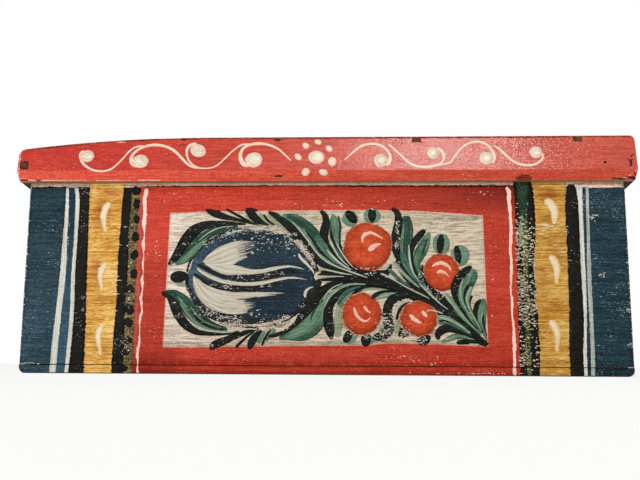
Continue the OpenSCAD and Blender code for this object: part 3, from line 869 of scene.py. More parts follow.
# %% Green and black band on the right
GREEN_BLACK = paint("green over black paint", ("#0E1B12", "#22382A", "#465C3A"), ground="#8A8448",
                    wear=0.4)
SLIVER = paint("ground under the dark band", ("#C2B488", "#E4D9B8", "#F8F0DA"), ground="#9A8A5C",
               wear=0.25)
strokes("right_dark_band", BLACK, 0.08, [
    [(122.2, 0.4, 11.6), (122.4, 10, 11.8), (122.3, 35, 11.5), (121.7, 45, 10.2), (122, 52, 11.2),
     (121.5, 64, 9.9), (122.4, 85, 12), (122.4, 105, 11.6), (121.8, 112, 11.8), (121.4, 117.4, 11)]],
    tremble=0.4, ragged=0.8, **BAND)
strokes("right_green_streak", GREEN_BLACK, 0.12, [
    [(121.8, 0.4, 2.6), (121.7, 30, 2.8), (121.9, 60, 2.6), (121.8, 78, 3), (121.4, 92, 4.8),
     (121.4, 104, 6), (121.4, 117, 7.4)]], tremble=0.5, ragged=1.2,
    wear=lambda x, z, v: max(0.0, min(0.5, (96 - z) / 30)), **BAND)


def flaked(z):
    """Most of the loss lies at three heights."""
    rise = math.exp(-((z - 80) / 13) ** 2) + 1.1 * math.exp(-((z - 45) / 14) ** 2)
    return rise + 0.8 * math.exp(-((z - 12) / 8) ** 2)


SLIVERS = 1400
fall = random.Random(3)
film = films("band_slivers", SLIVER, 0.17)
for number in range(SLIVERS):
    x, z = 122.2 + fall.uniform(-5.6, 5.6), fall.uniform(1, 104)
    if fall.random() < flaked(z) * (1.0 if x < 121 else 0.6):
        flake(film, x, z, fall.choice((0.5, 0.7, 1.0, 1.5, 2.4)),
              fall.uniform(0.35, 0.75), fall.uniform(-6, 6), number)
dry(film, CRACK)
LIDWORK = {"body": "lid", "slot": "painted_lid", "surface": on_lid}
SMEAR = paint("dark smear on red", ("#3A1E12", "#66281A", "#8E3424"), ground="#B8402C", wear=0.55,
              streaks=0.2)
strokes("dark_smear", SMEAR, 0.03, dabs=[(121.4, 117.9, 10, 3.4), (121.6, 119.2, 6, 2)], kind=LIDWORK)

# %% [markdown]
# White and flesh-pink lines part the bands. They are drawn with a small brush that presses and lifts,
# so the pink ones swell and thin like a string of beads. A curve with a round bevel would look like
# wire, and a flat film with a width at each point is what a brush leaves. The cream commas on the ochre
# are one press of a round brush, pulled off to a point. Fine level cracks have opened in the ochre in
# three places.

# %% Lines and commas
WHITE = paint("grey-white oil paint", ("#B4B2A8", "#D2D0C6", "#E8E6DC"), ground="#5E6A6C", wear=0.4,
              streaks=0.4)
BLUISH = paint("blue-grey oil paint", ("#7E8A86", "#A4ADA6", "#C2C8C0"), ground="#3A4A50", wear=0.3,
               streaks=0.4)
PINK = paint("flesh-pink oil paint", ("#E4B09C", "#F2CCBC", "#FCE2D6"), ground="#D24A38", wear=0.1,
             streaks=0.4)
CREAM = paint("cream oil paint", ("#DEC498", "#F0DCBA", "#FCF2DE"), ground="#D9A24A", wear=0.3,
              streaks=0.4, drift=("#FFFFFF", "#F4F0E8", -100, 100))
strokes("white_lines", WHITE, 0.12, [
    [(-162.2, 0.5, 4), (-161.4, 20, 3.9), (-160.3, 40, 3.5), (-159.2, 60, 3.7), (-159.1, 80, 2.9),
     (-158.9, 100, 2.2), (-159.3, TOP - 0.8, 1.8)],
    [(-153.8, 0.5, 2.4), (-152.8, 20, 2.3), (-152.3, 40, 2.4), (-152.8, 60, 2.3), (-152.5, 80, 2.3),
     (-152.5, 104, 2.6), (-153.6, TOP - 0.8, 2.2)],
    [(154.6, 0.5, 2), (154.7, 14, 2), (155.4, 26, 1.6), (155.9, 40, 1.9), (155.8, 60, 2.6),
     (155.9, 100, 2.5), (155.6, TOP + 0.4, 4)]], tremble=0.2, ragged=0.3, **BAND)
strokes("blue_grey_line", BLUISH, 0.12, [
    [(158.7, 0.5, 2.3), (159.1, 20, 2.2), (159.2, 60, 2.4), (159.6, 80, 2), (160, 100, 1.8),
     (160.4, 113.8, 1.8)]], tremble=0.2, ragged=0.3, **BAND)
strokes("pink_lines", PINK, 0.12, [
    [(-110.6, 0.5, 1.5), (-110.7, 6, 0.8), (-111, 12, 1.7), (-110.2, 20, 1.2), (-110.3, 28, 0.6),
     (-110.4, 33, 1.6), (-109.4, 38, 1.1), (-110.3, 45, 1.8), (-109.6, 50, 0.8), (-110, 56, 2.1),
     (-109.5, 61, 0.4), (-110, 66, 1.5), (-109.7, 72, 0.5), (-110.1, 79, 2), (-109.8, 84, 0.5),
     (-110.2, 91, 2.6), (-110, 97, 2.2), (-110.4, 105, 2.6), (-109.7, 113.4, 2.9)],
    [(113.2, 0.5, 2.2), (113.4, 10, 1.8), (113.6, 19, 2.1), (113.4, 30, 1.4), (112.8, 37, 1.2),
     (113.2, 44, 1.4), (112.4, 50, 1), (113.2, 60, 1.6), (113.4, 69, 1.8), (112.9, 75, 1.7),
     (113.7, 85, 2), (113.6, 96, 1.8), (113, 105, 2.6), (113.4, 110, 2.6), (112, 113.8, 1.8)]],
    joint=CRACK, tremble=0.5, ragged=0.5)
COMMAS = (
    [(-132.4, 104.6, 2.2), (-134.6, 101, 3.3), (-135.8, 96, 3.2), (-135.2, 91, 2), (-134, 86, 0.6)],
    [(-133.3, 67, 1.4), (-135, 63, 3), (-136, 59, 2.5), (-135.3, 54, 1.5), (-134.6, 50, 0.5)],
    [(-133.2, 29, 1.5), (-135, 25, 3), (-135.4, 21, 2.5), (-134.4, 16, 1.4), (-133.4, 11, 0.5)],
    [(134.6, 105.6, 2.4), (138, 103.2, 4.2), (140.2, 98.6, 4), (140, 94, 2.4), (139.4, 90.8, 0.8)],
    [(136, 71.3, 1.8), (138.6, 68.6, 3.6), (140.2, 64, 3), (140, 59, 1.8), (139.6, 54.8, 0.6)],
    [(134.6, 32.4, 1.8), (137.2, 29.6, 3.8), (139, 25, 3), (138.8, 20, 1.8), (138.2, 14.4, 0.6)])
THIN_CREAM = paint("cream drawn thin over ochre", ("#C89A50", "#E4BF80", "#F2DAAC"), ground="#D9A24A",
                   wear=0.5)
strokes("comma_edges", THIN_CREAM, 0.08, [[(x, z, w + 1.3) for x, z, w in points] for points in COMMAS],
        ragged=0.6)
strokes("ochre_commas", CREAM, 0.10, COMMAS, tremble=0.3, ragged=0.3, wear=lambda x, z, v: 0.5 * v * v)
CRACKED, CRACKS = ((-131, 6, 56, 90), (-128, 3, 34, 60), (136, 6, 82, 92)), 16
fall = random.Random(5)
film = films("ochre_cracks", CREAM, 0.11)
for middle, spread, low, high in CRACKED:
    for _ in range(CRACKS):
        x, z = middle + fall.uniform(-spread, spread), fall.uniform(low, high)
        reach, rise = fall.uniform(0.7, 2.4), fall.uniform(-0.15, 0.2)
        stroke(film, [(x - reach, z - rise, 0.2), (x, z, 0.45), (x + reach, z + rise, 0.2)])
dry(film)
STRIP = paint("chalky bare strip", ("#94705E", "#C8A694", "#E6D0BE"), ground="#6E5040", wear=0.45,
              gloss=0.6)
strokes("bare_strip", STRIP, 0.02,
        [[(-181, 115.9, 3), (-60, 115.7, 3.4), (60, 115.6, 3.4), (181, 115.6, 3.6)]], square=True,
        tremble=0.5, ragged=0.5)
strokes("pink_strip_line", PINK, 0.05, [
    [(153, 114.4, 1.2), (162, 113.9, 1.4), (172, 113.9, 1.1), (180.4, 113.9, 0.8)]], tremble=0.5,
    ragged=0.6)

# %% [markdown]
# The panel is a cream field, a little uneven along its edges, where the red and the cream mixed to
# pink. It could be one sheet with a pink border in its material, but two wide strokes, the pink one a
# little larger and below, leave an uneven fringe as on the box.

# %% Panel
PANEL = paint("cream panel", ("#9E907E", "#DCCBB9", "#F6EADB"), ground="#8F8472", wear=0.42, gloss=0.6,
              glaze="#D3D2C0", mottle=0.25, speck=0.27)
FRINGE = paint("pink fringe", ("#D58D78", "#E6AA96", "#EFC2B0"), ground="#C04A38", wear=0.5, gloss=0.6)
PANEL_EDGE = [(-94.6, 56.8, 81.2), (-75, 57.2, 82), (-45, 57.7, 81.6), (-12, 58.2, 81.6),
              (20, 58.5, 81.4), (40, 58.9, 80), (60, 58.6, 79.4), (80, 57.6, 78.8), (97.2, 56.6, 78)]
PANEL_TILT = (0.8, -0.6)
FRINGE_LONGER, FRINGE_WIDER = 1.006, 1.0
FRINGE_EDGE = [(x * FRINGE_LONGER, z, w + FRINGE_WIDER) for x, z, w in PANEL_EDGE]


def greyed(x, z, v):
    """The cream is pinkish at the upper left, and greyer to the right and the foot."""
    return max(0.6 * min(1.0, (x + 90) / 50), 0.3 * min(1.0, (75 - z) / 50), 0.0)


strokes("panel_fringe", FRINGE, 0.08, [FRINGE_EDGE], square=True, tremble=0.3, ragged=0.3,
        tilt=PANEL_TILT)
strokes("panel", PANEL, 0.12, [PANEL_EDGE], square=True, tremble=0.25, ragged=0.3, tilt=PANEL_TILT,
        glaze=greyed)

# %% [markdown]
# The tulip is a blue disc, lighter on its left and dark to the right, with two cream petals pulled out
# in dry streaks, and dark and pale bands between them. The disc is one dab, and its shade and its loss
# are attributes of its points, so they need no film of their own. A petal is several strokes whose wear
# grows along them, so that the brush seems to run dry.

# %% Tulip
TULIP = paint("tulip blue", ("#22343F", "#3E5768", "#6E8798"), ground="#C9CBC6", wear=0.24, streaks=0.25,
              glaze="#7A868A", mottle=0.6, speck=0.55)
BANDS = paint("dark bands of the tulip", ("#0C0F0C", "#181D1B", "#2A312F"), ground="#D6D0C2", wear=0.16)
PETAL = paint("cream petal", ("#A69D8A", "#C4BCAA", "#D9D2C2"), ground="#2C3E4A", wear=0.1, streaks=0.6,
              gloss=0.6, dry=True)
TULIP_X, TULIP_Z, TULIP_REACH, TULIP_RISE = -43, 58, 39.5, 30.3


def from_tulip(x, z):
    """How far a place lies from the middle of the tulip: about 1 along its edge."""
    return math.hypot((x - TULIP_X) / TULIP_REACH, (z - TULIP_Z) / TULIP_RISE)


def shaded(x, z, v):
    """The tulip is a lighter blue along its left rim and dark inside and to the right."""
    upper = from_tulip(x, z) * max(0.0, (z - 60) / 30)
    return min(1.0, max(0.0, (x + 88) / 34) * (1.25 - 0.5 * upper))


def rim(x, z, v):
    """The tulip has flaked most along its upper edge and its upper right."""
    upper = unit((z - 66) / 14) * unit((x + 68) / 14)
    return max(0.0, (from_tulip(x, z) - 0.84) / 0.16) * (0.12 + 0.62 * upper)


def dried(x, z, v):
    """The petals ran dry to the right: the brush left streaks, and then nothing."""
    if 59 < z < 67 or 52.5 < z < 59:
        return max(0.0, (x + 24) / 16)
    if 46 < z < 51:
        return max(0.0, (x + 44) / 17)
    return max(0.0, min(1.5, (x + 59) / 13))


strokes("tulip_blue", TULIP, 0.20, dabs=[(TULIP_X, TULIP_Z, 2 * TULIP_REACH, 2 * TULIP_RISE)],
        wear=rim, glaze=shaded)
strokes("tulip_shade", BANDS, 0.22, [
    [(-82.6, 61, 1), (-81, 67.4, 1.4), (-76.6, 73.8, 1.4), (-70.2, 79.6, 1.3), (-63, 84.2, 1.3),
     (-55, 87.4, 1.2), (-46, 88.8, 0.7)],
    [(-82.6, 56, 0.9), (-80.2, 49.4, 2.2), (-76.4, 43.4, 4), (-71.4, 38.2, 5.2), (-64.2, 34.6, 5.6),
     (-55, 32.8, 5.8), (-46, 32, 5.6), (-38, 31.8, 3.6), (-30, 33, 1.4)],
    [(-20, 83.4, 1.4), (-14.4, 79.4, 2.4), (-9.6, 73, 3), (-5.4, 66.4, 3), (-3, 61, 2.4)],
    [(-18, 35, 1.6), (-12, 40, 4), (-7, 46.6, 5), (-4, 52, 5), (-2, 57, 4)]], wear=0.25, ragged=0.5)
strokes("tulip_bands", BANDS, 0.28, [
    [(-76.4, 66, 1), (-70, 63, 2.4), (-62, 59.9, 2.8), (-52, 58, 3.2), (-42, 57.8, 3.6), (-33, 59.2, 3.6),
     (-25, 61, 2.8), (-17, 61.8, 1.2)],
    [(-78.4, 60.4, 1), (-74, 57.2, 2.4), (-68, 54, 3.2), (-60, 51.6, 3.8), (-52, 50.8, 3.6),
     (-44, 51.2, 3), (-36, 52.2, 2.4), (-27, 54, 1.2)]],
    wear=lambda x, z, v: 0.35 if abs(x + 33) < 5 or abs(x + 58) < 4 else 0.1)
strokes("tulip_petals", PETAL, 0.32, [
    [(-73, 67.6, 1), (-70, 68.6, 4.4), (-64, 71.6, 8), (-57, 74.8, 8.4), (-50, 77, 7.4), (-44, 78.2, 4.4),
     (-38, 79.4, 1.4)],
    [(-71, 67, 3), (-65, 68, 7), (-58, 70.6, 8), (-52, 73, 7), (-46, 75, 5), (-41, 76.6, 2)],
    [(-70, 66.4, 3), (-63, 66.4, 7), (-57, 67.6, 6), (-52, 69.6, 4), (-46, 70.8, 1.6)],
    [(-71.6, 66.8, 1.2), (-66, 64.8, 4.4), (-59, 62.8, 6.2), (-52, 62.4, 5.8), (-46, 61.6, 3.9),
     (-38, 61.6, 2.5), (-30, 63.3, 2.2), (-22, 64.7, 1.4), (-16, 64.3, 0.9), (-11, 62.8, 0.4)],
    [(-78.4, 58.6, 1.2), (-76, 53.6, 5), (-71.4, 47.2, 8), (-65, 43, 10), (-58, 41.4, 10.4),
     (-51, 41.2, 9), (-45, 41.4, 6), (-40, 41.8, 2)],
    [(-77, 57, 1.6), (-71, 51.2, 4.4), (-63, 47.9, 5.2), (-54, 46.8, 4.8), (-45, 47.2, 3.8),
     (-37, 47.7, 2.8), (-30, 48.1, 2), (-23, 48.5, 0.9)],
    [(-69, 43, 3), (-63, 39.6, 4.4), (-57, 37.8, 3.6), (-51, 37.2, 3), (-45, 37.4, 1.2)],
    [(-76.4, 63.7, 0.9), (-73.6, 61.5, 2), (-68, 58.4, 2.3), (-60, 55.5, 2.3), (-52, 54.2, 2.2),
     (-44, 53.9, 2.2), (-36, 54.8, 2.2), (-28, 56.6, 1.7), (-20, 57.8, 1.2), (-13, 57.4, 0.8),
     (-7.4, 56.4, 0.4)],
    [(-72, 61, 0.5), (-68, 58.6, 0.5), (-64, 57, 0.4)]], wear=dried, ragged=0.2, tremble=0.1)
strokes("tulip_sparks", PETAL, 0.33, [
    [(-14.6, 72.6, 0.9), (-13.4, 70, 1.8), (-9.6, 66.3, 1.6), (-6.4, 62.7, 1), (-5.3, 60.4, 0.5)],
    [(-1, 61.4, 0.6), (-3.4, 60.6, 1.5), (-4.4, 58.4, 1.8), (-3.4, 56.4, 1)],
    [(-5.5, 52.6, 0.5), (-9, 51, 1.4), (-10.5, 48.4, 1.9), (-10.4, 45.9, 0.9)]])
TAN = paint("tan ground at the tulip", ("#9A8C76", "#C2B5A0", "#D8CEBD"), ground="#1A201F", wear=0.4)
strokes("tulip_tan", TAN, 0.30, [
    [(-17.6, 81, 1.6), (-13, 77, 3.2), (-8.8, 71.4, 3), (-5, 65.4, 1.4)],
    [(-30, 90.4, 0.8), (-22, 85.6, 1.4)],
    [(-52, 88.4, 0.6), (-46, 89.1, 1.4), (-38, 89.3, 2), (-30, 88.5, 1.6), (-22, 86, 0.8)],
    [(-62, 30.2, 0.6), (-54, 29.6, 1.4), (-46, 29.2, 1.2), (-38, 29.2, 1.6), (-30, 30.6, 1.8),
     (-19, 34.4, 0.8)],
    [(-36, 25.4, 0.8), (-30, 28, 2.4), (-22, 31, 1.6)]], wear=0.45, ragged=0.6)

# %% [markdown]
# The leaves are laid wet in wet: first a wide stroke of green, then a black one beside it that makes
# the shaded half of each leaf, and fine dark or pale lines between. They fan out from one stem that
# starts in the lower right corner of the panel and ends at the tulip. A filled outline would need many
# points for each leaf. A stroke needs five or six, and its streaks then run along the leaf.

# %% Green leaves
LEAF = paint("leaf green", ("#425E4A", "#618068", "#7F9B84"), ground="#C2BEA8", wear=0.3, streaks=0.4,
             glaze="#7C9A8C")


def wet(x, z, v):
    """Wet in wet, a leaf is darker along its edges and in patches."""
    return min(1.0, max(0.0, abs(v) - 0.5) * 1.5 + max(0.0, 1.6 * noise.noise((x * 0.11, z * 0.11, 7.0))))


DEEP = paint("deep leaf green", ("#12261D", "#274539", "#426051"), ground="#B0B09A", wear=0.3,
             streaks=0.4)
MOSS = paint("thin moss green", ("#6E7E62", "#8C967A", "#AAAE94"), ground="#C6BCA8", wear=0.3,
             streaks=0.4)
strokes("leaves_thin_green", MOSS, 0.16, [
    [(-90, 54.6, 1), (-86, 53.8, 3), (-82, 53.6, 1.6)], [(-48, 96.4, 1), (-44, 93.4, 2), (-39, 91.6, 1)],
    [(-33.4, 96.6, 2.2), (-28, 91.6, 4), (-22, 86, 3.4), (-18, 82, 1.6)],
    [(-39, 97.6, 1.6), (-36, 94, 3), (-31, 90.8, 1.6)],
    [(9, 22, 3), (9.6, 29, 5), (10, 36, 5), (12, 43, 5)],
    [(21, 48.6, 1), (26, 51.2, 2), (34, 51.6, 2.2), (43, 50.4, 1.4), (49, 50.2, 0.6)],
    [(32, 46, 2.4), (37, 47.4, 4), (43, 48.8, 2)], [(34, 25, 4), (37, 28, 5), (40, 26, 4)],
    [(42, 25, 4), (45, 29, 5), (46, 33, 3)], [(47, 23, 4), (50, 26, 5), (55, 24, 3)],
    [(57, 68, 3), (58, 62, 4), (61, 57, 3)], [(-34, 28, 3), (-26, 29.6, 3), (-19, 33, 2)]])
strokes("leaves_green", LEAF, 0.20, [
    [(-90, 66, 1.6), (-85.6, 68.6, 5), (-80.4, 73.4, 9), (-75.6, 79.4, 8), (-70, 84.6, 5),
     (-63, 87.8, 3.4), (-55, 89, 2)],
    [(-25, 96.2, 2), (-19, 94.4, 6), (-12.6, 90, 9), (-7, 84, 10), (-3.4, 77.6, 9), (1, 71.4, 6),
     (7, 66.8, 4), (15, 63, 2)],
    [(5.8, 97, 1.2), (7, 93, 5.6), (7.6, 88, 7.4), (7.4, 83, 6.4), (8.4, 78, 5), (12, 71.6, 4),
     (18, 66, 2)],
    [(50, 96, 2), (50, 91, 5.6), (49.6, 84, 6), (48.6, 77, 6), (49, 70, 5), (52, 64, 4), (57, 58, 2)],
    [(64.8, 85.6, 1.4), (63, 81.6, 4.6), (60.8, 76.6, 7), (58.2, 71.6, 6.6), (56.8, 66.6, 4.4),
     (58.4, 61, 2.4)],
    [(-26, 21.6, 1.6), (-19, 23, 6), (-11, 26, 12), (-4.6, 32, 13), (-1, 38.6, 10), (1.6, 44.2, 6),
     (6, 49, 2)],
    [(-38.6, 18.4, 2.4), (-37, 22, 3), (-34.4, 26, 1.6)],
    [(-33.4, 19.4, 1), (-32, 23, 2.4), (-28, 27, 2.6)],
    [(91.4, 63, 3.4), (89, 58.6, 7.6), (85.6, 53.4, 9.6), (83.8, 47.4, 9.4), (85, 41, 7.4), (88.6, 34, 5),
     (94, 25.4, 2)],
    [(73.4, 47.6, 2.6), (77.6, 43, 5.4), (83, 37, 6.4), (88.6, 30.6, 5.6), (94, 24, 3)],
    [(66, 35, 3), (72, 33.6, 6), (79, 30.4, 6), (86, 25.8, 4), (93, 20.8, 2)],
    [(96.2, 45.6, 2.2), (95.4, 40.6, 5.4), (94.6, 35, 5.8), (95, 29, 4.2), (96.6, 24, 2),
     (97.6, 20, 0.8)],
    [(70.6, 19.5, 1), (75, 21.5, 3), (80, 23.2, 3.6), (86, 22.8, 3), (91, 21, 2), (95, 19, 1)],
    [(10.6, 40, 2), (12.6, 45, 5), (17, 49, 5), (24, 51.6, 3)]], glaze=wet)
strokes("leaf_halos", LEAF, 0.18, dabs=[
    (16.6, 94, 10, 9.6, -30), (30, 96, 10.4, 9), (71.8, 78.6, 10.4, 13), (82.8, 71.4, 11.4, 12.8, -12),
    (17, 22.4, 9.6, 6.6, 40), (27, 20.8, 8, 6)])
strokes("leaves_deep_green", DEEP, 0.22, [
    [(-86, 71, 2), (-81, 77, 3), (-75, 82.4, 4), (-68, 87, 3.4), (-60, 89.2, 2.4), (-52, 89.4, 1.4)],
    [(-72, 80.4, 1), (-66, 85, 2.4), (-58, 87.6, 1.8), (-49, 88, 0.8)],
    [(-22, 96, 2), (-14, 92, 4.4), (-7.6, 86.6, 6), (-3, 79.6, 5), (1, 73, 3), (7, 68, 2), (14, 64, 1)],
    [(9.4, 96, 1), (10.6, 90, 1.6), (10.2, 84, 1.6), (10.6, 79, 1)],
    [(51.4, 96, 2.4), (52.2, 90, 5), (52, 83, 5.4), (51, 76, 5), (51.4, 70, 4), (54, 64, 3), (58, 58, 2)],
    [(63.6, 82, 0.8), (61.8, 77.4, 1.6), (60.2, 71.6, 1.4)],
    [(-95.4, 49.4, 2), (-90, 48, 5), (-85, 44.4, 7), (-80, 38.8, 9.4), (-74.6, 33, 8.4), (-67, 28.8, 5.4),
     (-57, 26.2, 2.6)],
    [(-7, 32, 0.8), (-6, 36, 1.3), (-3.4, 40.6, 1.2), (1, 45, 0.8)],
    [(91.6, 60.4, 3), (90.2, 56, 3.6), (88.6, 53, 1.4)],
    [(-2, 50.6, 1.6), (3, 53.4, 2.8), (8, 54.9, 2.2), (14, 55.4, 1)]])
strokes("leaf_lights", LEAF, 0.24, [
    [(-86, 43, 0.8), (-81.4, 35.4, 2), (-75.4, 29.8, 2.2), (-67, 26.6, 1.6), (-57, 25.4, 0.8)],
    [(-79.4, 39.6, 0.5), (-75, 34, 1.2), (-69, 30, 1.2), (-61, 27.6, 0.6)],
    [(-88, 46.6, 0.8), (-84.4, 42.4, 1.6), (-81, 37.6, 0.8)],
    [(-84, 69, 1.4), (-79.4, 73.4, 3.6), (-75.4, 77.4, 2.6), (-71, 81, 1)],
    [(-12, 88, 1), (-8, 82, 1.6), (-3.6, 75.6, 1)]])

# %% [markdown]
# Black follows the green: the shaded half of each leaf, the stem that they grow from, and the ovals
# round the berries and left of the tulip. The brush was pressed down along the leaf and lifted at its
# tip, so the widths swell and fall along each stroke. The ovals are dabs.

# %% Black leaves, stem and ovals
INK = paint("black of the leaves", ("#050605", "#10120F", "#2C302A"), ground="#D2C9B8", wear=0.34,
            streaks=0.2)
strokes("leaves_black", INK, 0.26, [
    [(-94.3, 65.8, 1.4), (-91.5, 68.5, 4), (-87.6, 74.4, 6), (-84.5, 80, 6.8), (-79.4, 86.2, 7.4),
     (-72.5, 90, 5.4), (-64, 91, 4), (-55, 91.2, 2.4), (-47, 90.8, 1)],
    [(-72, 99.8, 1.6), (-68, 98, 4), (-63, 96.2, 4.2), (-57, 94.6, 3), (-51, 93.2, 2), (-45, 91.6, 1.4),
     (-39, 90.4, 0.8)],
    [(-59.4, 100.2, 1.4), (-54, 97.2, 1.6), (-49.6, 94.8, 1.7), (-44, 91.8, 1.5), (-39, 90.2, 0.8)],
    [(-47.4, 100, 2.2), (-44.2, 97.4, 5), (-41, 94, 4.8), (-37, 91.6, 2.8), (-32.6, 89.8, 0.9)],
    [(-36.6, 97, 1.1), (-33.2, 92.6, 1.5), (-28.4, 89.4, 0.8)],
    [(-33.4, 98.5, 1.8), (-28.6, 95.8, 3.6), (-23, 91.4, 4.6), (-17.4, 86.3, 5.2), (-12.4, 81, 4.6),
     (-8, 75.6, 4.6), (-3.2, 69.6, 5.4), (2.4, 65.4, 5), (11, 61.8, 4.4), (21, 59.2, 3.4)],
    [(-10.4, 87, 0.8), (-6.4, 81, 1.4), (-2, 74.4, 1.4), (4, 69, 1.2), (11, 65, 1.4), (19, 61.6, 1.4)],
    [(-1.4, 99.3, 1.8), (1.2, 96, 3.6), (2, 92, 4.6), (1, 87, 5.6), (0.8, 82, 5), (3, 77, 3.8),
     (7.2, 72.2, 3), (13, 67.4, 2.8), (20, 63.4, 2.6), (28, 60, 2)],
    [(5.2, 86.5, 0.8), (5.5, 83, 1.4), (7, 79, 1.4), (9.6, 75, 1.4), (14.4, 69.6, 1.8), (21, 64, 2)],
    [(10, 80, 1), (12, 74.6, 1.4), (16, 69, 2), (21, 64.6, 2.4), (27, 61, 2)],
    [(42, 100.5, 2), (45.4, 97.4, 3.8), (46.1, 92, 5), (45, 86, 5.8), (43.9, 80, 5.6), (44.4, 75, 5),
     (46, 70, 4), (48.6, 65.4, 3), (52.6, 60, 2.4), (58, 54.6, 1.6)],
    [(61.8, 87.4, 2.2), (59.4, 84.4, 4), (56, 80.4, 4.2), (53.9, 75.4, 2.8), (53.7, 69.6, 2),
     (55, 64, 1.7), (58.2, 58, 1.7), (62.4, 52.6, 1.7), (67.4, 47.4, 1.5), (73, 42, 1)],
    [(-97.4, 48.5, 2.4), (-93, 46, 3.4), (-89.8, 41, 5.4), (-87.4, 36, 5.8), (-83, 30, 5.4),
     (-77, 25.7, 4.2), (-70, 24.1, 2.6), (-60, 23.8, 1.6), (-49, 25.2, 1.6)],
    [(-79.4, 38, 0.6), (-74.6, 32.4, 1.6), (-68, 28.4, 1.8), (-59, 26.2, 1)],
    [(-67.4, 15, 1.6), (-64.4, 17.6, 4.6), (-60, 19.2, 4.8), (-55, 21.4, 4), (-49.6, 23.6, 3.4),
     (-44, 25.4, 2.2), (-38, 27, 0.9)],
    [(-51.8, 15.8, 1.8), (-48.6, 19.2, 1.7), (-45, 22.4, 1.4), (-40.6, 25.6, 0.8)],
    [(-43.8, 14.7, 1.6), (-42.7, 18, 4.6), (-41, 21.4, 4.6), (-38.6, 24.4, 3), (-36, 26.2, 0.8)],
    [(-36, 17, 1.1), (-35, 20, 1.6), (-33, 24, 1.4), (-30.8, 27, 0.7)],
    [(-32.2, 22.6, 1.6), (-28, 23.3, 2.4), (-22, 25.8, 2.6), (-16.6, 29.6, 2.6), (-12.6, 34.4, 4.8),
     (-9, 39.4, 6.8), (-5, 44.8, 7), (-1, 49.4, 5.8), (5, 52.6, 4.6), (13, 55, 4.4), (22, 56.4, 3.4)],
    [(5.6, 20.9, 1.2), (5, 24, 4.4), (4, 29, 6.2), (3.4, 35, 5.8), (4, 40, 5.2), (7, 45, 4.4),
     (11.4, 49.2, 3.6), (18, 52.6, 3), (26, 54.2, 2.4)],
    [(10.4, 42.6, 0.6), (12.6, 46, 1), (17, 49.8, 1.2), (24, 52.8, 1.2)],
    [(17.8, 47.4, 1.4), (20.6, 50, 2), (25.6, 52.8, 2.6), (33, 53.6, 2)],
    [(29.4, 45.2, 2), (32.4, 47.8, 2.8), (37.6, 49.5, 2.2), (45, 50, 1)],
    [(52.6, 43.4, 1.4), (47.8, 40.6, 2), (45.2, 36.6, 2), (44.3, 32.6, 1.4)],
    [(88.4, 54.6, 1), (86.5, 52, 2), (85.2, 49, 1.7), (84.8, 45, 1), (86, 40.6, 0.8), (89, 34, 0.6),
     (93, 27, 0.5)],
    [(89.6, 47.4, 1), (88, 44.4, 1.8), (87.6, 41.4, 1.5), (89, 37.4, 1.2), (92, 31, 0.9),
     (94.8, 26, 0.6)],
    [(94.6, 45, 1.4), (92.6, 42.6, 2.8), (91.2, 39, 2.8), (91, 35.4, 2), (92.4, 31, 1.3),
     (95.4, 25.4, 0.8)],
    [(96, 36, 0.8), (95.6, 32.6, 1.4), (96.2, 28.6, 1), (97.6, 23.4, 0.7)],
    [(69, 21, 2), (68.8, 24, 4), (71.4, 27, 5.4), (76, 27.7, 4.4), (82, 25.6, 2.8), (88, 23, 1.6),
     (93, 20.6, 1)],
    [(79.6, 19.2, 2), (83.6, 19.9, 3.2), (89.4, 19.8, 2.8), (95, 18.8, 2.4), (97.4, 18.2, 2.8)],
    [(60.6, 39, 1), (64, 40.2, 1.7), (68, 39.6, 1.7), (73, 37.6, 1.5), (78, 34.6, 1.2)],
    [(62.6, 34.6, 1.4), (66.6, 36.4, 1.5), (72, 36, 1.5), (78, 32.8, 1)],
    [(69, 32, 0.8), (74, 32.2, 1.1), (84, 27.4, 0.7)]],
    dabs=[(-87.5, 58.4, 11, 7.2, 4), (-82.6, 57, 2.4, 7, 0), (17.3, 95.3, 5.4, 9.4, 38), (30, 96.6, 5, 9),
          (71.2, 78.5, 4.6, 11.8, -6), (81.4, 72, 4.2, 11, 8), (15.2, 22.7, 5, 8.2, -28),
          (26, 21, 6, 8.4, -6)])
strokes("stem", INK, 0.28, [
    [(-4, 60.4, 2), (4, 61, 4), (12, 61, 5), (20, 59.6, 4), (28, 57.6, 3)],
    [(-4, 56.4, 1.4), (6, 57, 2.4), (16, 57.2, 4), (28, 56, 7), (40, 54.2, 7), (50, 51, 8.4),
     (58, 46.6, 7.6), (66, 42.6, 5.6), (74, 37.6, 5), (82, 31.4, 4.6), (90, 24.8, 3.6), (95.6, 19.8, 3),
     (98, 18, 2.4)],
    [(10, 77, 0.8), (13, 71.6, 2.4), (18, 66.4, 4), (25, 62, 5.4), (33, 60, 5.4), (39, 61.4, 3.6),
     (41.6, 66, 1.2)],
    [(44.6, 69, 2), (47, 65, 5), (51.6, 59.4, 6.6), (58, 53, 6), (64, 47.6, 4.6), (70, 42.6, 3)],
    [(60, 66, 1), (60.2, 60, 2.4), (62.6, 54.6, 4.4), (67, 49.4, 5), (72, 44.6, 4.4), (78, 38.4, 3.4)],
    [(-3, 46, 1.4), (1, 49.6, 1.8), (6, 52.8, 1.6), (13, 54.8, 1.2), (22, 55.2, 1)]])

# %% [markdown]
# Towards the stem the leaves run together into a fan of thin stripes. They could be cut out of one dark
# shape, but on the box they are strokes that overlap, and so they are here: the teal and the sage are
# drawn over the black, which stays between them as dark lines.

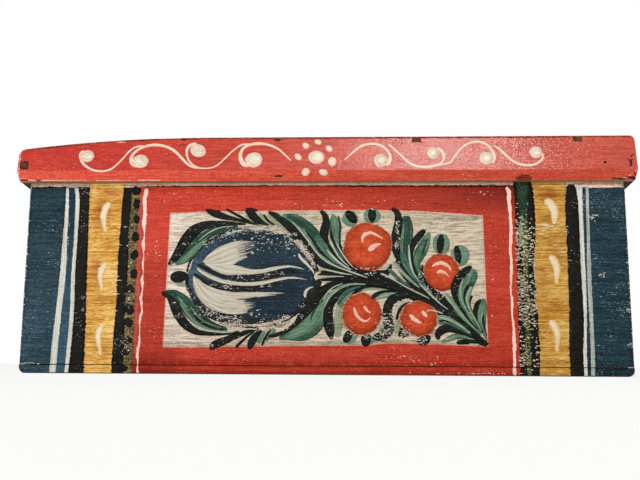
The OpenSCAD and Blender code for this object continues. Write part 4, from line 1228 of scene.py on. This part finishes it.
# %% Greens of the fan
TEAL = paint("teal of the fan", ("#1E3C33", "#3E6356", "#648779"), ground="#B0B09A", wear=0.25,
             streaks=0.4)
SAGE = paint("sage green of the fan", ("#5E7864", "#82997F", "#A2B59C"), ground="#3A4A40", wear=0.25,
             streaks=0.4)
strokes("fan_teal", TEAL, 0.31, [
    [(-4, 84, 3), (0, 77.6, 4.6), (4, 71.8, 3.2), (9, 67.2, 2.2), (15, 63.8, 1.2)],
    [(9, 41.6, 1.2), (10.8, 45.6, 2.2), (14, 49, 2.2), (18, 51.4, 1.5), (23, 52.6, 0.8)],
    [(39.4, 63.6, 1.6), (42.4, 60.7, 2.4), (45, 58.2, 1.9), (49, 55, 1.3), (53, 52.6, 0.7)],
    [(47.8, 74, 3), (49.4, 68, 3.4), (52.2, 62.6, 3), (56.2, 57.4, 2.4), (61, 52.4, 1.9), (66, 47.4, 1)],
    [(91.8, 62, 2.4), (91.2, 58, 3.2), (89.8, 54.6, 1.6)], [(57, 80, 1), (59.4, 78, 1.6), (62.4, 82, 1)],
    [(69, 30.6, 1.2), (74, 30.9, 1.4), (80, 28.6, 1.1), (86, 25, 0.8)]])
strokes("fan_sage", SAGE, 0.32, [
    [(1, 40, 0.8), (3, 45, 1.8), (6, 48.6, 2.1), (10, 51.6, 1.9), (15, 53.6, 1.4), (20, 54.2, 1.2),
     (26, 53.9, 0.7)],
    [(42.4, 67.6, 1), (44, 66, 2), (47, 62.6, 2.1), (50, 59.4, 1.9), (54, 55.6, 1.5), (58, 52.2, 0.8)],
    [(73, 48.8, 1.2), (75.6, 45.4, 2.6), (78.6, 41.6, 2.2), (82, 37.4, 1.7), (86, 32.8, 1.2),
     (91, 27, 0.6)],
    [(68.6, 34.6, 1.4), (73, 34.2, 2.5), (78, 32, 2.1), (83, 28.8, 1.6), (88, 25, 0.9)],
    [(89.4, 52.6, 1.2), (87.2, 48, 2.3), (86.6, 44, 2), (87.8, 39.6, 1.5), (91, 33, 1),
     (94.6, 26.4, 0.6)],
    [(33, 46, 0.8), (36, 47.2, 2.4), (40, 48.3, 1.7), (44, 48.9, 0.6)],
    [(84.4, 57.4, 0.8), (82.8, 52, 1.6), (83, 46, 1.2), (85.4, 40, 1), (89.6, 33, 0.8)]])

# %% [markdown]
# One black leaf below the stem has lost most of its lower half, and so have two spots under the
# berries. They are strokes with a high wear of their own, which frays them more than a smaller outline
# would. Fine pale lines part the leaves, and some tips run over the edge of the panel and look dark on
# the red.

# %% Chipped strokes, pale lines and dark tips
strokes("leaf_chipped", INK, 0.27, [
    [(53, 48.6, 6), (46, 47.2, 6), (40.6, 43.4, 5.6), (38.9, 38, 5.6), (39.2, 33, 5.6), (39.6, 28, 6.4),
     (37.4, 24.2, 6.6), (33.4, 22.4, 5.4), (30, 22, 2.4)],
    [(46, 22.4, 3), (48.6, 25.4, 6.4), (53, 27.2, 5)],
    [(56, 20.4, 2.6), (60.4, 20.4, 5.4), (64, 23.4, 3.4)]],
    wear=lambda x, z, v: 0.0 if z > 40 else min(0.28, (40 - z) * 0.03), ragged=0.8)
PALE = paint("pale lines between leaves", ("#8A9484", "#A6AC9A", "#C2C4B2"), ground="#3A4A40", wear=0.3,
             streaks=0.4)
strokes("pale_lines", PALE, 0.33, [
    [(-19, 92.4, 0.5), (-14.6, 87.6, 0.9), (-9, 80.6, 0.9), (-5.6, 75.6, 0.8), (-2, 71.4, 1),
     (3, 67.4, 1), (9, 64.6, 1), (14, 62.7, 0.9), (20, 60.5, 0.9), (27, 58, 0.5)],
    [(2.4, 75, 0.5), (5, 72, 1.3), (9, 68, 1.2), (13, 65, 1.1), (17, 62.6, 0.5)],
    [(3.8, 82.4, 0.6), (5.4, 79, 1.2), (7, 75, 1), (9.4, 71.2, 0.9), (12.4, 67.8, 0.8), (16, 64.6, 0.4)],
    [(8, 79.6, 0.5), (10, 75.6, 0.9), (12.8, 71.2, 0.8), (15.6, 67.4, 0.8), (19, 63.8, 0.4)],
    [(-2, 64, 0.8), (2, 62.8, 1), (8, 61.4, 1), (14, 60.2, 0.8), (18, 59.8, 0.4)],
    [(-2, 58.6, 1.3), (3, 58.6, 0.9), (8, 58.8, 0.6), (13, 58.6, 0.4)],
    [(0.5, 44.4, 0.4), (3, 49, 0.7), (7, 52.4, 0.7), (12, 54.3, 0.4)],
    [(35, 60.4, 1.3), (38, 59.3, 1.1), (42, 57.2, 0.9), (46, 55, 0.7), (50, 52.5, 0.8), (55, 50, 0.8),
     (60, 47.6, 0.8), (64, 45.4, 0.4)],
    [(52, 78, 0.7), (52.3, 72, 1.4), (53, 66, 1.2), (54.8, 60.6, 0.8), (58, 56, 0.5)],
    [(58, 54.6, 0.5), (62, 50.4, 0.9), (66, 46.6, 0.9), (70, 42.8, 0.7), (75, 39, 0.4)],
    [(52.4, 44.6, 0.6), (48.4, 43.6, 1.2), (45, 40.4, 1.7), (43.6, 36, 1.3), (42.8, 32, 0.7)],
    [(-76, 80.6, 0.4), (-70, 85.4, 0.6), (-63, 88.6, 0.6), (-55, 89.6, 0.4)],
    [(-77, 29.4, 0.6), (-70, 26.2, 1), (-60, 24.9, 0.8), (-53, 25.2, 0.4)],
    [(62, 38, 0.6), (66, 38.4, 1), (72, 36.6, 0.6)], [(-50, 25, 0.5), (-45, 27, 0.8), (-39, 26.6, 0.5)],
    [(87, 18.6, 0.6), (93, 18.4, 0.5)]])
TIPS = paint("dark tips over red", ("#1C0F0B", "#2A1511", "#3E1D17"), streaks=0.3)
strokes("dark_tips", TIPS, 0.35, [
    [(-72.4, 99.9, 1.4), (-69, 98.9, 2.2), (-63, 98.7, 1)], [(-59.6, 100.3, 1.2), (-56, 98.6, 1.4)],
    [(-47.6, 100.2, 2), (-44.6, 99.6, 2.8), (-40, 99.4, 1)], [(-33.6, 98.6, 1.6), (-29.6, 97.4, 1.6)],
    [(-97.7, 48.5, 2.4), (-95, 48.2, 3)], [(-67.5, 14.9, 1.4), (-64, 15.6, 1.8)],
    [(29.4, 45.4, 1.8), (31, 46.4, 2)],
    [(42, 100.6, 1.8), (44.6, 99.6, 2)], [(25.2, 17.2, 1.6), (25.6, 18.6, 3)]])

# %% [markdown]
# Four berries, each a round of orange-red, darker along its edge, with two cream commas where it
# shines. Each is a dab over a thinner and slightly larger one. The dark edge is worked out from the
# distance to the middle, so one rule serves all four.

# %% Berries
BERRIES = ((27, 76.6, 29.6, 29.6), (23.3, 36, 23.4, 24.8), (71.7, 61, 22, 22.6), (57.5, 33.6, 22.2, 20.8))
BERRY = paint("berry red", ("#A23517", "#C24824", "#D85C38"), ground="#DDA88C", wear=0.34,
              glaze="#94766C", curl=1.4, cloud=(8, 7, 6), mottle=0.62)
BLUSH = paint("thin edge of a berry", ("#8A3A26", "#A8543C", "#C47A5E"), ground="#CDB8A0", wear=0.75)


def ripe(x, z, v):
    """A berry is darker along its lower left edge."""
    near = min(BERRIES, key=lambda berry: math.hypot(x - berry[0], z - berry[1]))
    p, q = (x - near[0]) / near[2] * 2, (z - near[1]) / near[3] * 2
    return min(1.0, max(0.0, math.hypot(p, q) - 0.55) * 1.2 * (1.1 - 0.5 * q))


strokes("berry_edges", BLUSH, 0.29, dabs=[(x, z, w + 0.8, h + 0.8) for x, z, w, h in BERRIES], wear=0.1)
strokes("berries", BERRY, 0.30, dabs=[(x + 0.1, z + 0.1, w - 0.8, h - 0.8) for x, z, w, h in BERRIES],
        glaze=ripe)
strokes("leaf_over_berry", INK, 0.34, [
    [(89.6, 65, 1.6), (86.4, 62.8, 4), (82.4, 58.9, 4.8), (79.6, 54, 5), (79, 49.6, 4.2), (79.8, 45.6, 3),
     (81.4, 42, 2.1), (83.8, 38, 1.7), (87.2, 33, 1.2), (92, 27.4, 0.8)]])
SHINE = paint("light on a berry", ("#DA9C84", "#ECBEA8", "#F7D8C8"), ground="#C85A3E", wear=0.15,
              streaks=0.4)
strokes("berry_lights", SHINE, 0.34, [
    [(24, 79.5, 1.2), (24.5, 83, 2), (28, 85.4, 1.9), (32, 84.3, 1.3), (36.6, 81.8, 0.5)],
    [(27.5, 74.5, 1.6), (29.6, 75.9, 3.2), (32.3, 77.9, 2.4), (35.4, 78.3, 0.5)],
    [(19, 40, 1), (20, 36.5, 1.8), (22.5, 33.3, 1.8), (26, 31.8, 1.2), (28.8, 34, 0.5)],
    [(25, 41, 1), (26, 39, 1.6), (28.8, 36.7, 0.6)],
    [(66, 65, 0.8), (69, 66.5, 2.2), (72.5, 66.8, 2.4), (76, 64.5, 1.6), (77, 62.3, 0.5)],
    [(68.5, 61, 0.8), (71, 61.7, 2), (73.5, 61, 1.4), (76.2, 58.6, 0.4)],
    [(52.3, 36, 1.4), (54, 33.8, 2.5), (57, 31.6, 2), (59.3, 31.3, 0.5)],
    [(59.5, 38, 1.8), (61, 36, 2.2), (62.5, 34.5, 1)]], tremble=0.3, ragged=0.3)

# %% [markdown]
# Flakes: where paint has come off in small slivers, the chalk ground shows. Each is a small uneven
# spot, longer along the grain than across it. Noise in a material would spread them evenly, but on the
# box they lie in clusters, most of them round the tulip. So the clusters are listed, each with its
# reach and its count, and a seeded draw fills them in the same way each time.

# %% Flakes
CHALK = paint("bare chalk ground", ("#C9C1B0", "#E6DFD0", "#F8F3E8"), ground="#8F8472", wear=0.3,
              gloss=0.7)
CLUSTERS = (
    (-86, 78.5, 2.2, 0.6, 5), (-79, 78.5, 3, 0.8, 7), (-72, 77.6, 2, 1.6, 9), (-67, 80, 2, 2, 10),
    (-61, 83.6, 4, 2, 16), (-55, 86.2, 4, 1.4, 16), (-45, 88.4, 6, 1, 60), (-33, 88.4, 6, 0.9, 60),
    (-41, 86.6, 6, 1.2, 26), (-30, 85, 5, 1.4, 16), (-20.4, 84.4, 1.4, 0.5, 9), (-14, 79.4, 2, 1.4, 26),
    (-11.4, 75.6, 2, 2.2, 60), (-8.4, 70.6, 2, 2.2, 50), (-5.4, 65.6, 1.4, 2.2, 28),
    (-17, 84.6, 1.6, 0.8, 10), (-36, 81, 13, 4.4, 46), (-22, 78, 7, 4, 38), (-40, 75, 7, 3, 16),
    (-34, 59, 2, 1.2, 12), (-27, 60.6, 4, 1.2, 12), (-52, 57.6, 10, 1.2, 10), (-68, 36, 6, 1.8, 44),
    (-60, 33.8, 6, 1.2, 50), (-55, 30.6, 6, 1.2, 46), (-49, 32, 4, 2.4, 36), (-45, 28.6, 7, 1.2, 26),
    (-66, 53.6, 2, 0.8, 8), (-58, 52, 2.4, 1.2, 12), (-42, 36, 7, 2.4, 18), (-36, 32, 2.4, 1.6, 12),
    (-37, 29.4, 6, 0.6, 30), (-28, 31.6, 4, 1, 26), (-22, 34.4, 3, 1.2, 20), (-20, 31, 3.4, 1, 18),
    (-24, 27.6, 3, 1.4, 18), (-13, 35, 1.6, 1.2, 8), (-12, 41, 1.4, 1.6, 8), (-90, 42.4, 1.2, 0.5, 5),
    (-86, 35, 1.6, 0.8, 7), (-66, 17.2, 1, 1, 5), (44.6, 77.6, 1.4, 1.6, 30), (45.6, 86, 1.4, 7, 34),
    (37, 32.6, 1.6, 4, 34), (35.6, 25, 3, 2.4, 46), (40, 27, 1.2, 2.4, 10), (26, 63.4, 4.4, 0.9, 22),
    (29, 60.4, 2.4, 1, 10), (50, 24.6, 3, 2, 34), (59.4, 21, 2.6, 1.6, 28), (30, 100, 1.2, 0.6, 10),
    (26.4, 22.6, 1.2, 1.2, 12), (16, 24.6, 1.2, 0.5, 6), (63, 51, 2.4, 2, 20), (69, 46, 2.4, 2.4, 22),
    (60, 56.4, 1.6, 2.4, 12), (12, 77.6, 1, 1.4, 9), (4.6, 30.4, 1.2, 0.3, 6), (-145.4, 38, 1, 1, 8),
    (-146, 46, 1, 1, 6), (-121, 89, 1, 0.5, 5), (147, 87, 0.7, 2.4, 14), (167, 60, 2.4, 1.4, 14),
    (163, 95, 2.4, 2.4, 24), (181, 39, 1, 1.4, 8), (180, 18, 1.6, 1, 9), (-178, 5.9, 3, 0.2, 14),
    (176, 95, 1, 0.6, 4), (-182.2, 60, 0.3, 44, 36), (182.2, 46, 0.3, 38, 30), (-157, 80, 0.5, 15, 16),
    (-118.4, 44, 2, 6, 20), (-118, 16, 2, 6, 22), (-117.6, 68, 1.6, 22, 20), (-176, 5.8, 4, 0.3, 20),
    (-102, 74, 3, 12, 16), (52, 10, 8, 2, 16), (66, 7, 4, 1, 8), (73, 22.6, 3, 2, 10), (46, 66, 2, 2, 8),
    (100, 110, 6, 1.4, 10), (90, 1.4, 26, 0.5, 40), (60, 60, 2, 1.6, 8), (20, 103, 60, 3, 26),
    (101, 60, 3, 30, 14))
FLAKE_SIZES, FLAKES_TO, FLAKES_LOW, FLAKES_TOP = (0.26, 0.34, 0.42, 0.52, 0.74), 182.5, 0.6, 113.5
SPREAD = 0.6
fall = random.Random(11)
film = films("flakes", CHALK, 0.40)
for x, z, wide, high, count in CLUSTERS:
    for number in range(count):
        size = fall.choice(FLAKE_SIZES)
        across = max(-FLAKES_TO, min(FLAKES_TO, fall.gauss(x, wide * SPREAD)))
        up = max(FLAKES_LOW, min(FLAKES_TOP, fall.gauss(z, high * SPREAD)))
        flake(film, across, up, size * fall.uniform(1.1, 1.9), size * fall.uniform(0.7, 1.1),
              fall.uniform(-20, 20), number + x)
dry(film)

# %% [markdown]
# The lid carries running scrolls and a dot flower in flesh-pink and cream. The lines swell towards
# their volutes, and each volute ends in a fat dab. They are the same strokes as on the front, laid on
# another surface: the lid's leaning face, which takes them along when the lid is opened.

# %% Scrolls on the lid
SCROLL = paint("scroll cream", ("#DCB29A", "#EBCBB4", "#F7E0CC"), ground="#D24A38", wear=0.2, streaks=0.4,
               gloss=0.25, shine=0.3)
VOLUTE = paint("pale cream of the volutes", ("#CAB69C", "#E6D8C0", "#F5EAD8"), ground="#B9A88C",
               wear=0.42, cloud=(5, 4, 4), mottle=0.7, gloss=0.25, shine=0.3)
strokes("scroll_lines", SCROLL, 0.05, [
    [(-148, 136, 1.6), (-150.2, 134, 2), (-149.6, 130.4, 1.9), (-147, 126.7, 1.6), (-142, 123.8, 1.3),
     (-136.4, 122.9, 1.2), (-131, 124, 1.2), (-127, 127.2, 1.1), (-123, 131.6, 1.1), (-119.6, 135.8, 1.1),
     (-116, 138.3, 1.2), (-111, 139.2, 1)],
    [(-113, 125.6, 1.6), (-117, 127.4, 2.6), (-118.4, 130.4, 2.3), (-117.4, 133.6, 1.8),
     (-115, 136.2, 1.6), (-111, 138.4, 1.6), (-105, 139.7, 1.8), (-98, 138.9, 1.8), (-92, 136, 1.7),
     (-87.4, 131.6, 1.7), (-83.6, 127.6, 1.6), (-80, 125.4, 1.3), (-75.6, 124.7, 1), (-69, 124.7, 0.9),
     (-64.4, 126.8, 0.9), (-60, 131, 1), (-55, 136, 1), (-50, 139.4, 1.1), (-45, 140, 0.9)],
    [(-78, 140.2, 1.4), (-81, 140, 1.7), (-83.6, 137.6, 1.9), (-84, 134, 1.4), (-82.6, 129.8, 1.2),
     (-79.4, 126.4, 1.1), (-75, 124.8, 0.7)],
    [(-45, 125.9, 1.6), (-48.6, 127.2, 2.8), (-50.6, 131, 2.4), (-50.3, 135, 2), (-47.4, 138.6, 1.7),
     (-41, 140.2, 1.8), (-34, 139.6, 1.7), (-27.4, 136.6, 1.3), (-23, 132.6, 1), (-19.6, 129.2, 0.6)],
    [(13, 129.6, 0.6), (18, 134, 1.1), (23, 138, 1.5), (29, 139.7, 1.6), (35, 138.8, 1.5),
     (39, 135.8, 1.5), (41, 131.6, 1.8), (40, 127.8, 2.8), (36.6, 125.9, 2)],
    [(40, 139.5, 0.9), (44, 136, 1.2), (49, 130.8, 1.4), (53, 127.2, 1.6), (58, 125.2, 1.6),
     (64.6, 125, 1.6), (69.4, 126, 1.3), (72.6, 128.2, 1.6), (73.6, 131.4, 1.9), (72.4, 134.8, 1.8),
     (69.6, 137, 1.4)],
    [(70, 125.8, 0.7), (77, 127.6, 1.2), (80, 131.4, 1.2), (84, 136.4, 1.2), (89, 139.9, 1.3),
     (95, 140.8, 1.3), (100, 138.6, 1.4), (103, 134.6, 1.7), (104, 130.4, 2), (102.4, 127.2, 2.2)],
    [(104, 138.4, 0.8), (108, 135.4, 1.3), (112, 131, 1.4), (116, 127.8, 1.5), (121, 126, 1.6),
     (127, 125.9, 1.5), (131, 128, 1.4), (133.2, 130.8, 1.4), (132, 133.4, 1.5)]], tremble=0.1,
    kind=LIDWORK)
VOLUTES = ((-145.8, 132.6, 8.4, 7.8), (-112.4, 129.2, 9.8, 8.6), (-77, 135.9, 10, 8, -20),
           (-42.4, 129.8, 10.6, 9.6), (35.2, 129, 8.6, 8.4), (67, 133.6, 7.2, 7.6), (99, 130.2, 8.6, 8),
           (129, 133.9, 7.8, 7.6), (-4, 131.2, 9.8, 8.4))
FLOWER_DOTS = ((-10.5, 138.7, 4.6, 3.8, -30), (-3, 141, 4.6, 3.4, -20), (3.8, 136.7, 4.8, 3.4, -40),
               (-15.2, 131.6, 5.2, 3.6, -45), (5.8, 128.4, 5, 6), (-10.5, 122, 5.2, 4.6, 30),
               (0.3, 121.8, 5.4, 4, -20))
strokes("scroll_dabs", SCROLL, 0.08, dabs=[*VOLUTES, *FLOWER_DOTS], kind=LIDWORK)
strokes("volute_middles", VOLUTE, 0.11, dabs=[
    (x + 0.3, z + 0.2, wide - 2.4, high - 2.4, *turn) for x, z, wide, high, *turn in VOLUTES],
    kind=LIDWORK)

# %% [markdown]
# Old knocks on the lid: paint has closed over two of the nails along its top edge and over the right
# corner nail, so that only slits of them show. The left corner nail is bare, with rust round its square
# head, and edges and corners are scuffed. Dents would need a far denser mesh and hardly show from here,
# so each mark is a small stroke of red, rust or pale paint.

# %% Marks on the lid
RUST = paint("rust stain on red", ("#2A120C", "#3E1A12", "#5E281A"), wear=0.2)
NAIL_X, NAIL_Z, HEAD = -185.1, 127.0, 2.2
HEAD_SIDES = ((-1, -1, -1, 1), (-1, 1, 1, 1), (1, 1, 1, -1), (1, -1, -1, -1))
COVERED = (-87, -31)
RUST_RIM = [[(NAIL_X + a * HEAD, NAIL_Z + b * HEAD, 0.6),
             (NAIL_X + (a + c) * HEAD / 2, NAIL_Z + (b + d) * HEAD / 2, 0.9),
             (NAIL_X + c * HEAD, NAIL_Z + d * HEAD, 0.6)] for a, b, c, d in HEAD_SIDES]
strokes("nail_covers", RED_LID, 0.05,
        [[(x - 3.6, 141.7, 4.2), (x, 141.6, 4.4), (x + 3.6, 141.7, 4.2)] for x in COVERED],
        [(186.4, 127, 3.6, 6.2), (183.4, 127.2, 2.2, 6)], kind=LIDWORK, square=True, ragged=0.3)
strokes("lid_knocks", RUST, 0.10, [
    [(-88, 142.8, 0.7), (-86, 142.9, 1.2), (-84, 142.8, 0.6)],
    [(-30.5, 142.4, 0.6), (-28, 142.5, 1.3), (-25.6, 142.5, 0.6)],
    [(-30, 119.7, 0.6), (-27, 119.8, 1.2), (-24, 119.7, 0.5)],
    [(-113.6, 142.4, 0.5), (-110.6, 142.6, 0.7)],
    [(185.1, 124.6, 0.7), (185.4, 127, 1.3), (185, 129.4, 0.6)],
    [(185.6, 130.4, 0.5), (186.4, 132.4, 0.8)],
    [(182, 118.6, 0.5), (186, 118, 1.6), (188, 117.6, 1)],
    [(186.6, 121.6, 0.5), (187.6, 120.4, 1), (188, 119, 0.6)],
    [(174, 117.6, 0.5), (179, 117.4, 0.9), (183, 117.5, 0.5)],
    [(-188.3, 123.6, 0.4), (-187.8, 123.7, 0.6)], [(-188.2, 129.4, 0.5), (-187.4, 129.5, 0.7)],
    [(-188, 132.4, 0.5), (-187.1, 132.6, 0.7)], [(-187.7, 135.2, 0.5), (-186.9, 135.4, 0.7)], *RUST_RIM],
    [(170, 127.5, 2, 1.6), (-184.8, 117.8, 5, 1), (-176, 117.5, 4, 0.7)], kind=LIDWORK, ragged=0.5)
DARK_TOP_LINE = paint("dark line along the lid's top edge", ("#4E2219", "#7A3C2E", "#A0584A"), ground="#C88A78",
              wear=0.5)
LID_HIGH, FALL_X, FALL_R = 144.3, -71.3, 932.0


def top_edge(x):
    """Height of the lid's top edge: level, then falling to the left along one round arc."""
    return LID_HIGH if x > FALL_X else LID_HIGH - FALL_R + math.sqrt(FALL_R ** 2 - (x - FALL_X) ** 2)


# A dark line along the lid's top edge.
strokes("lid_rim", DARK_TOP_LINE, 0.05, [[(x, top_edge(x) - 0.75, 0.8) for x in range(-184, 187, 10)]],
        kind=LIDWORK, tremble=0.3, ragged=0.45)
SCUFF = paint("scuffed edge of the lid", ("#D88E7C", "#EAB2A0", "#F6D2C4"), ground="#C8412E", wear=0.75)
strokes("lid_scuffs", SCUFF, 0.06, [
    [(-187.6, 119, 0.6), (-180, 117.7, 0.8), (-165, 117.5, 0.5), (-146, 117.6, 0.4)],
    [(183.6, 118.8, 0.5), (186.4, 120.6, 1.1), (188.6, 122.6, 0.5)],
    [(176, 117.4, 0.4), (180, 117.6, 0.8), (184, 118.4, 0.5)],
    [(-114, 117.4, 0.4), (-108, 117.6, 0.6), (-100, 117.4, 0.4)],
    [(-140, 117.3, 0.3), (-126, 117.4, 0.5), (-118, 117.3, 0.3)],
    [(-128, 141.4, 0.6), (-125, 141.6, 1), (-122.6, 141.5, 0.5)],
    [(-188.2, 120.8, 0.5), (-188.3, 124, 1), (-188.2, 127, 0.7)],
    [(-188.1, 128, 0.7), (-188, 131, 1.2), (-187.8, 133.6, 0.6)],
    [(-187.6, 134.2, 0.5), (-187.4, 135.6, 0.9), (-187, 136.6, 0.5)]], kind=LIDWORK, ragged=0.5)
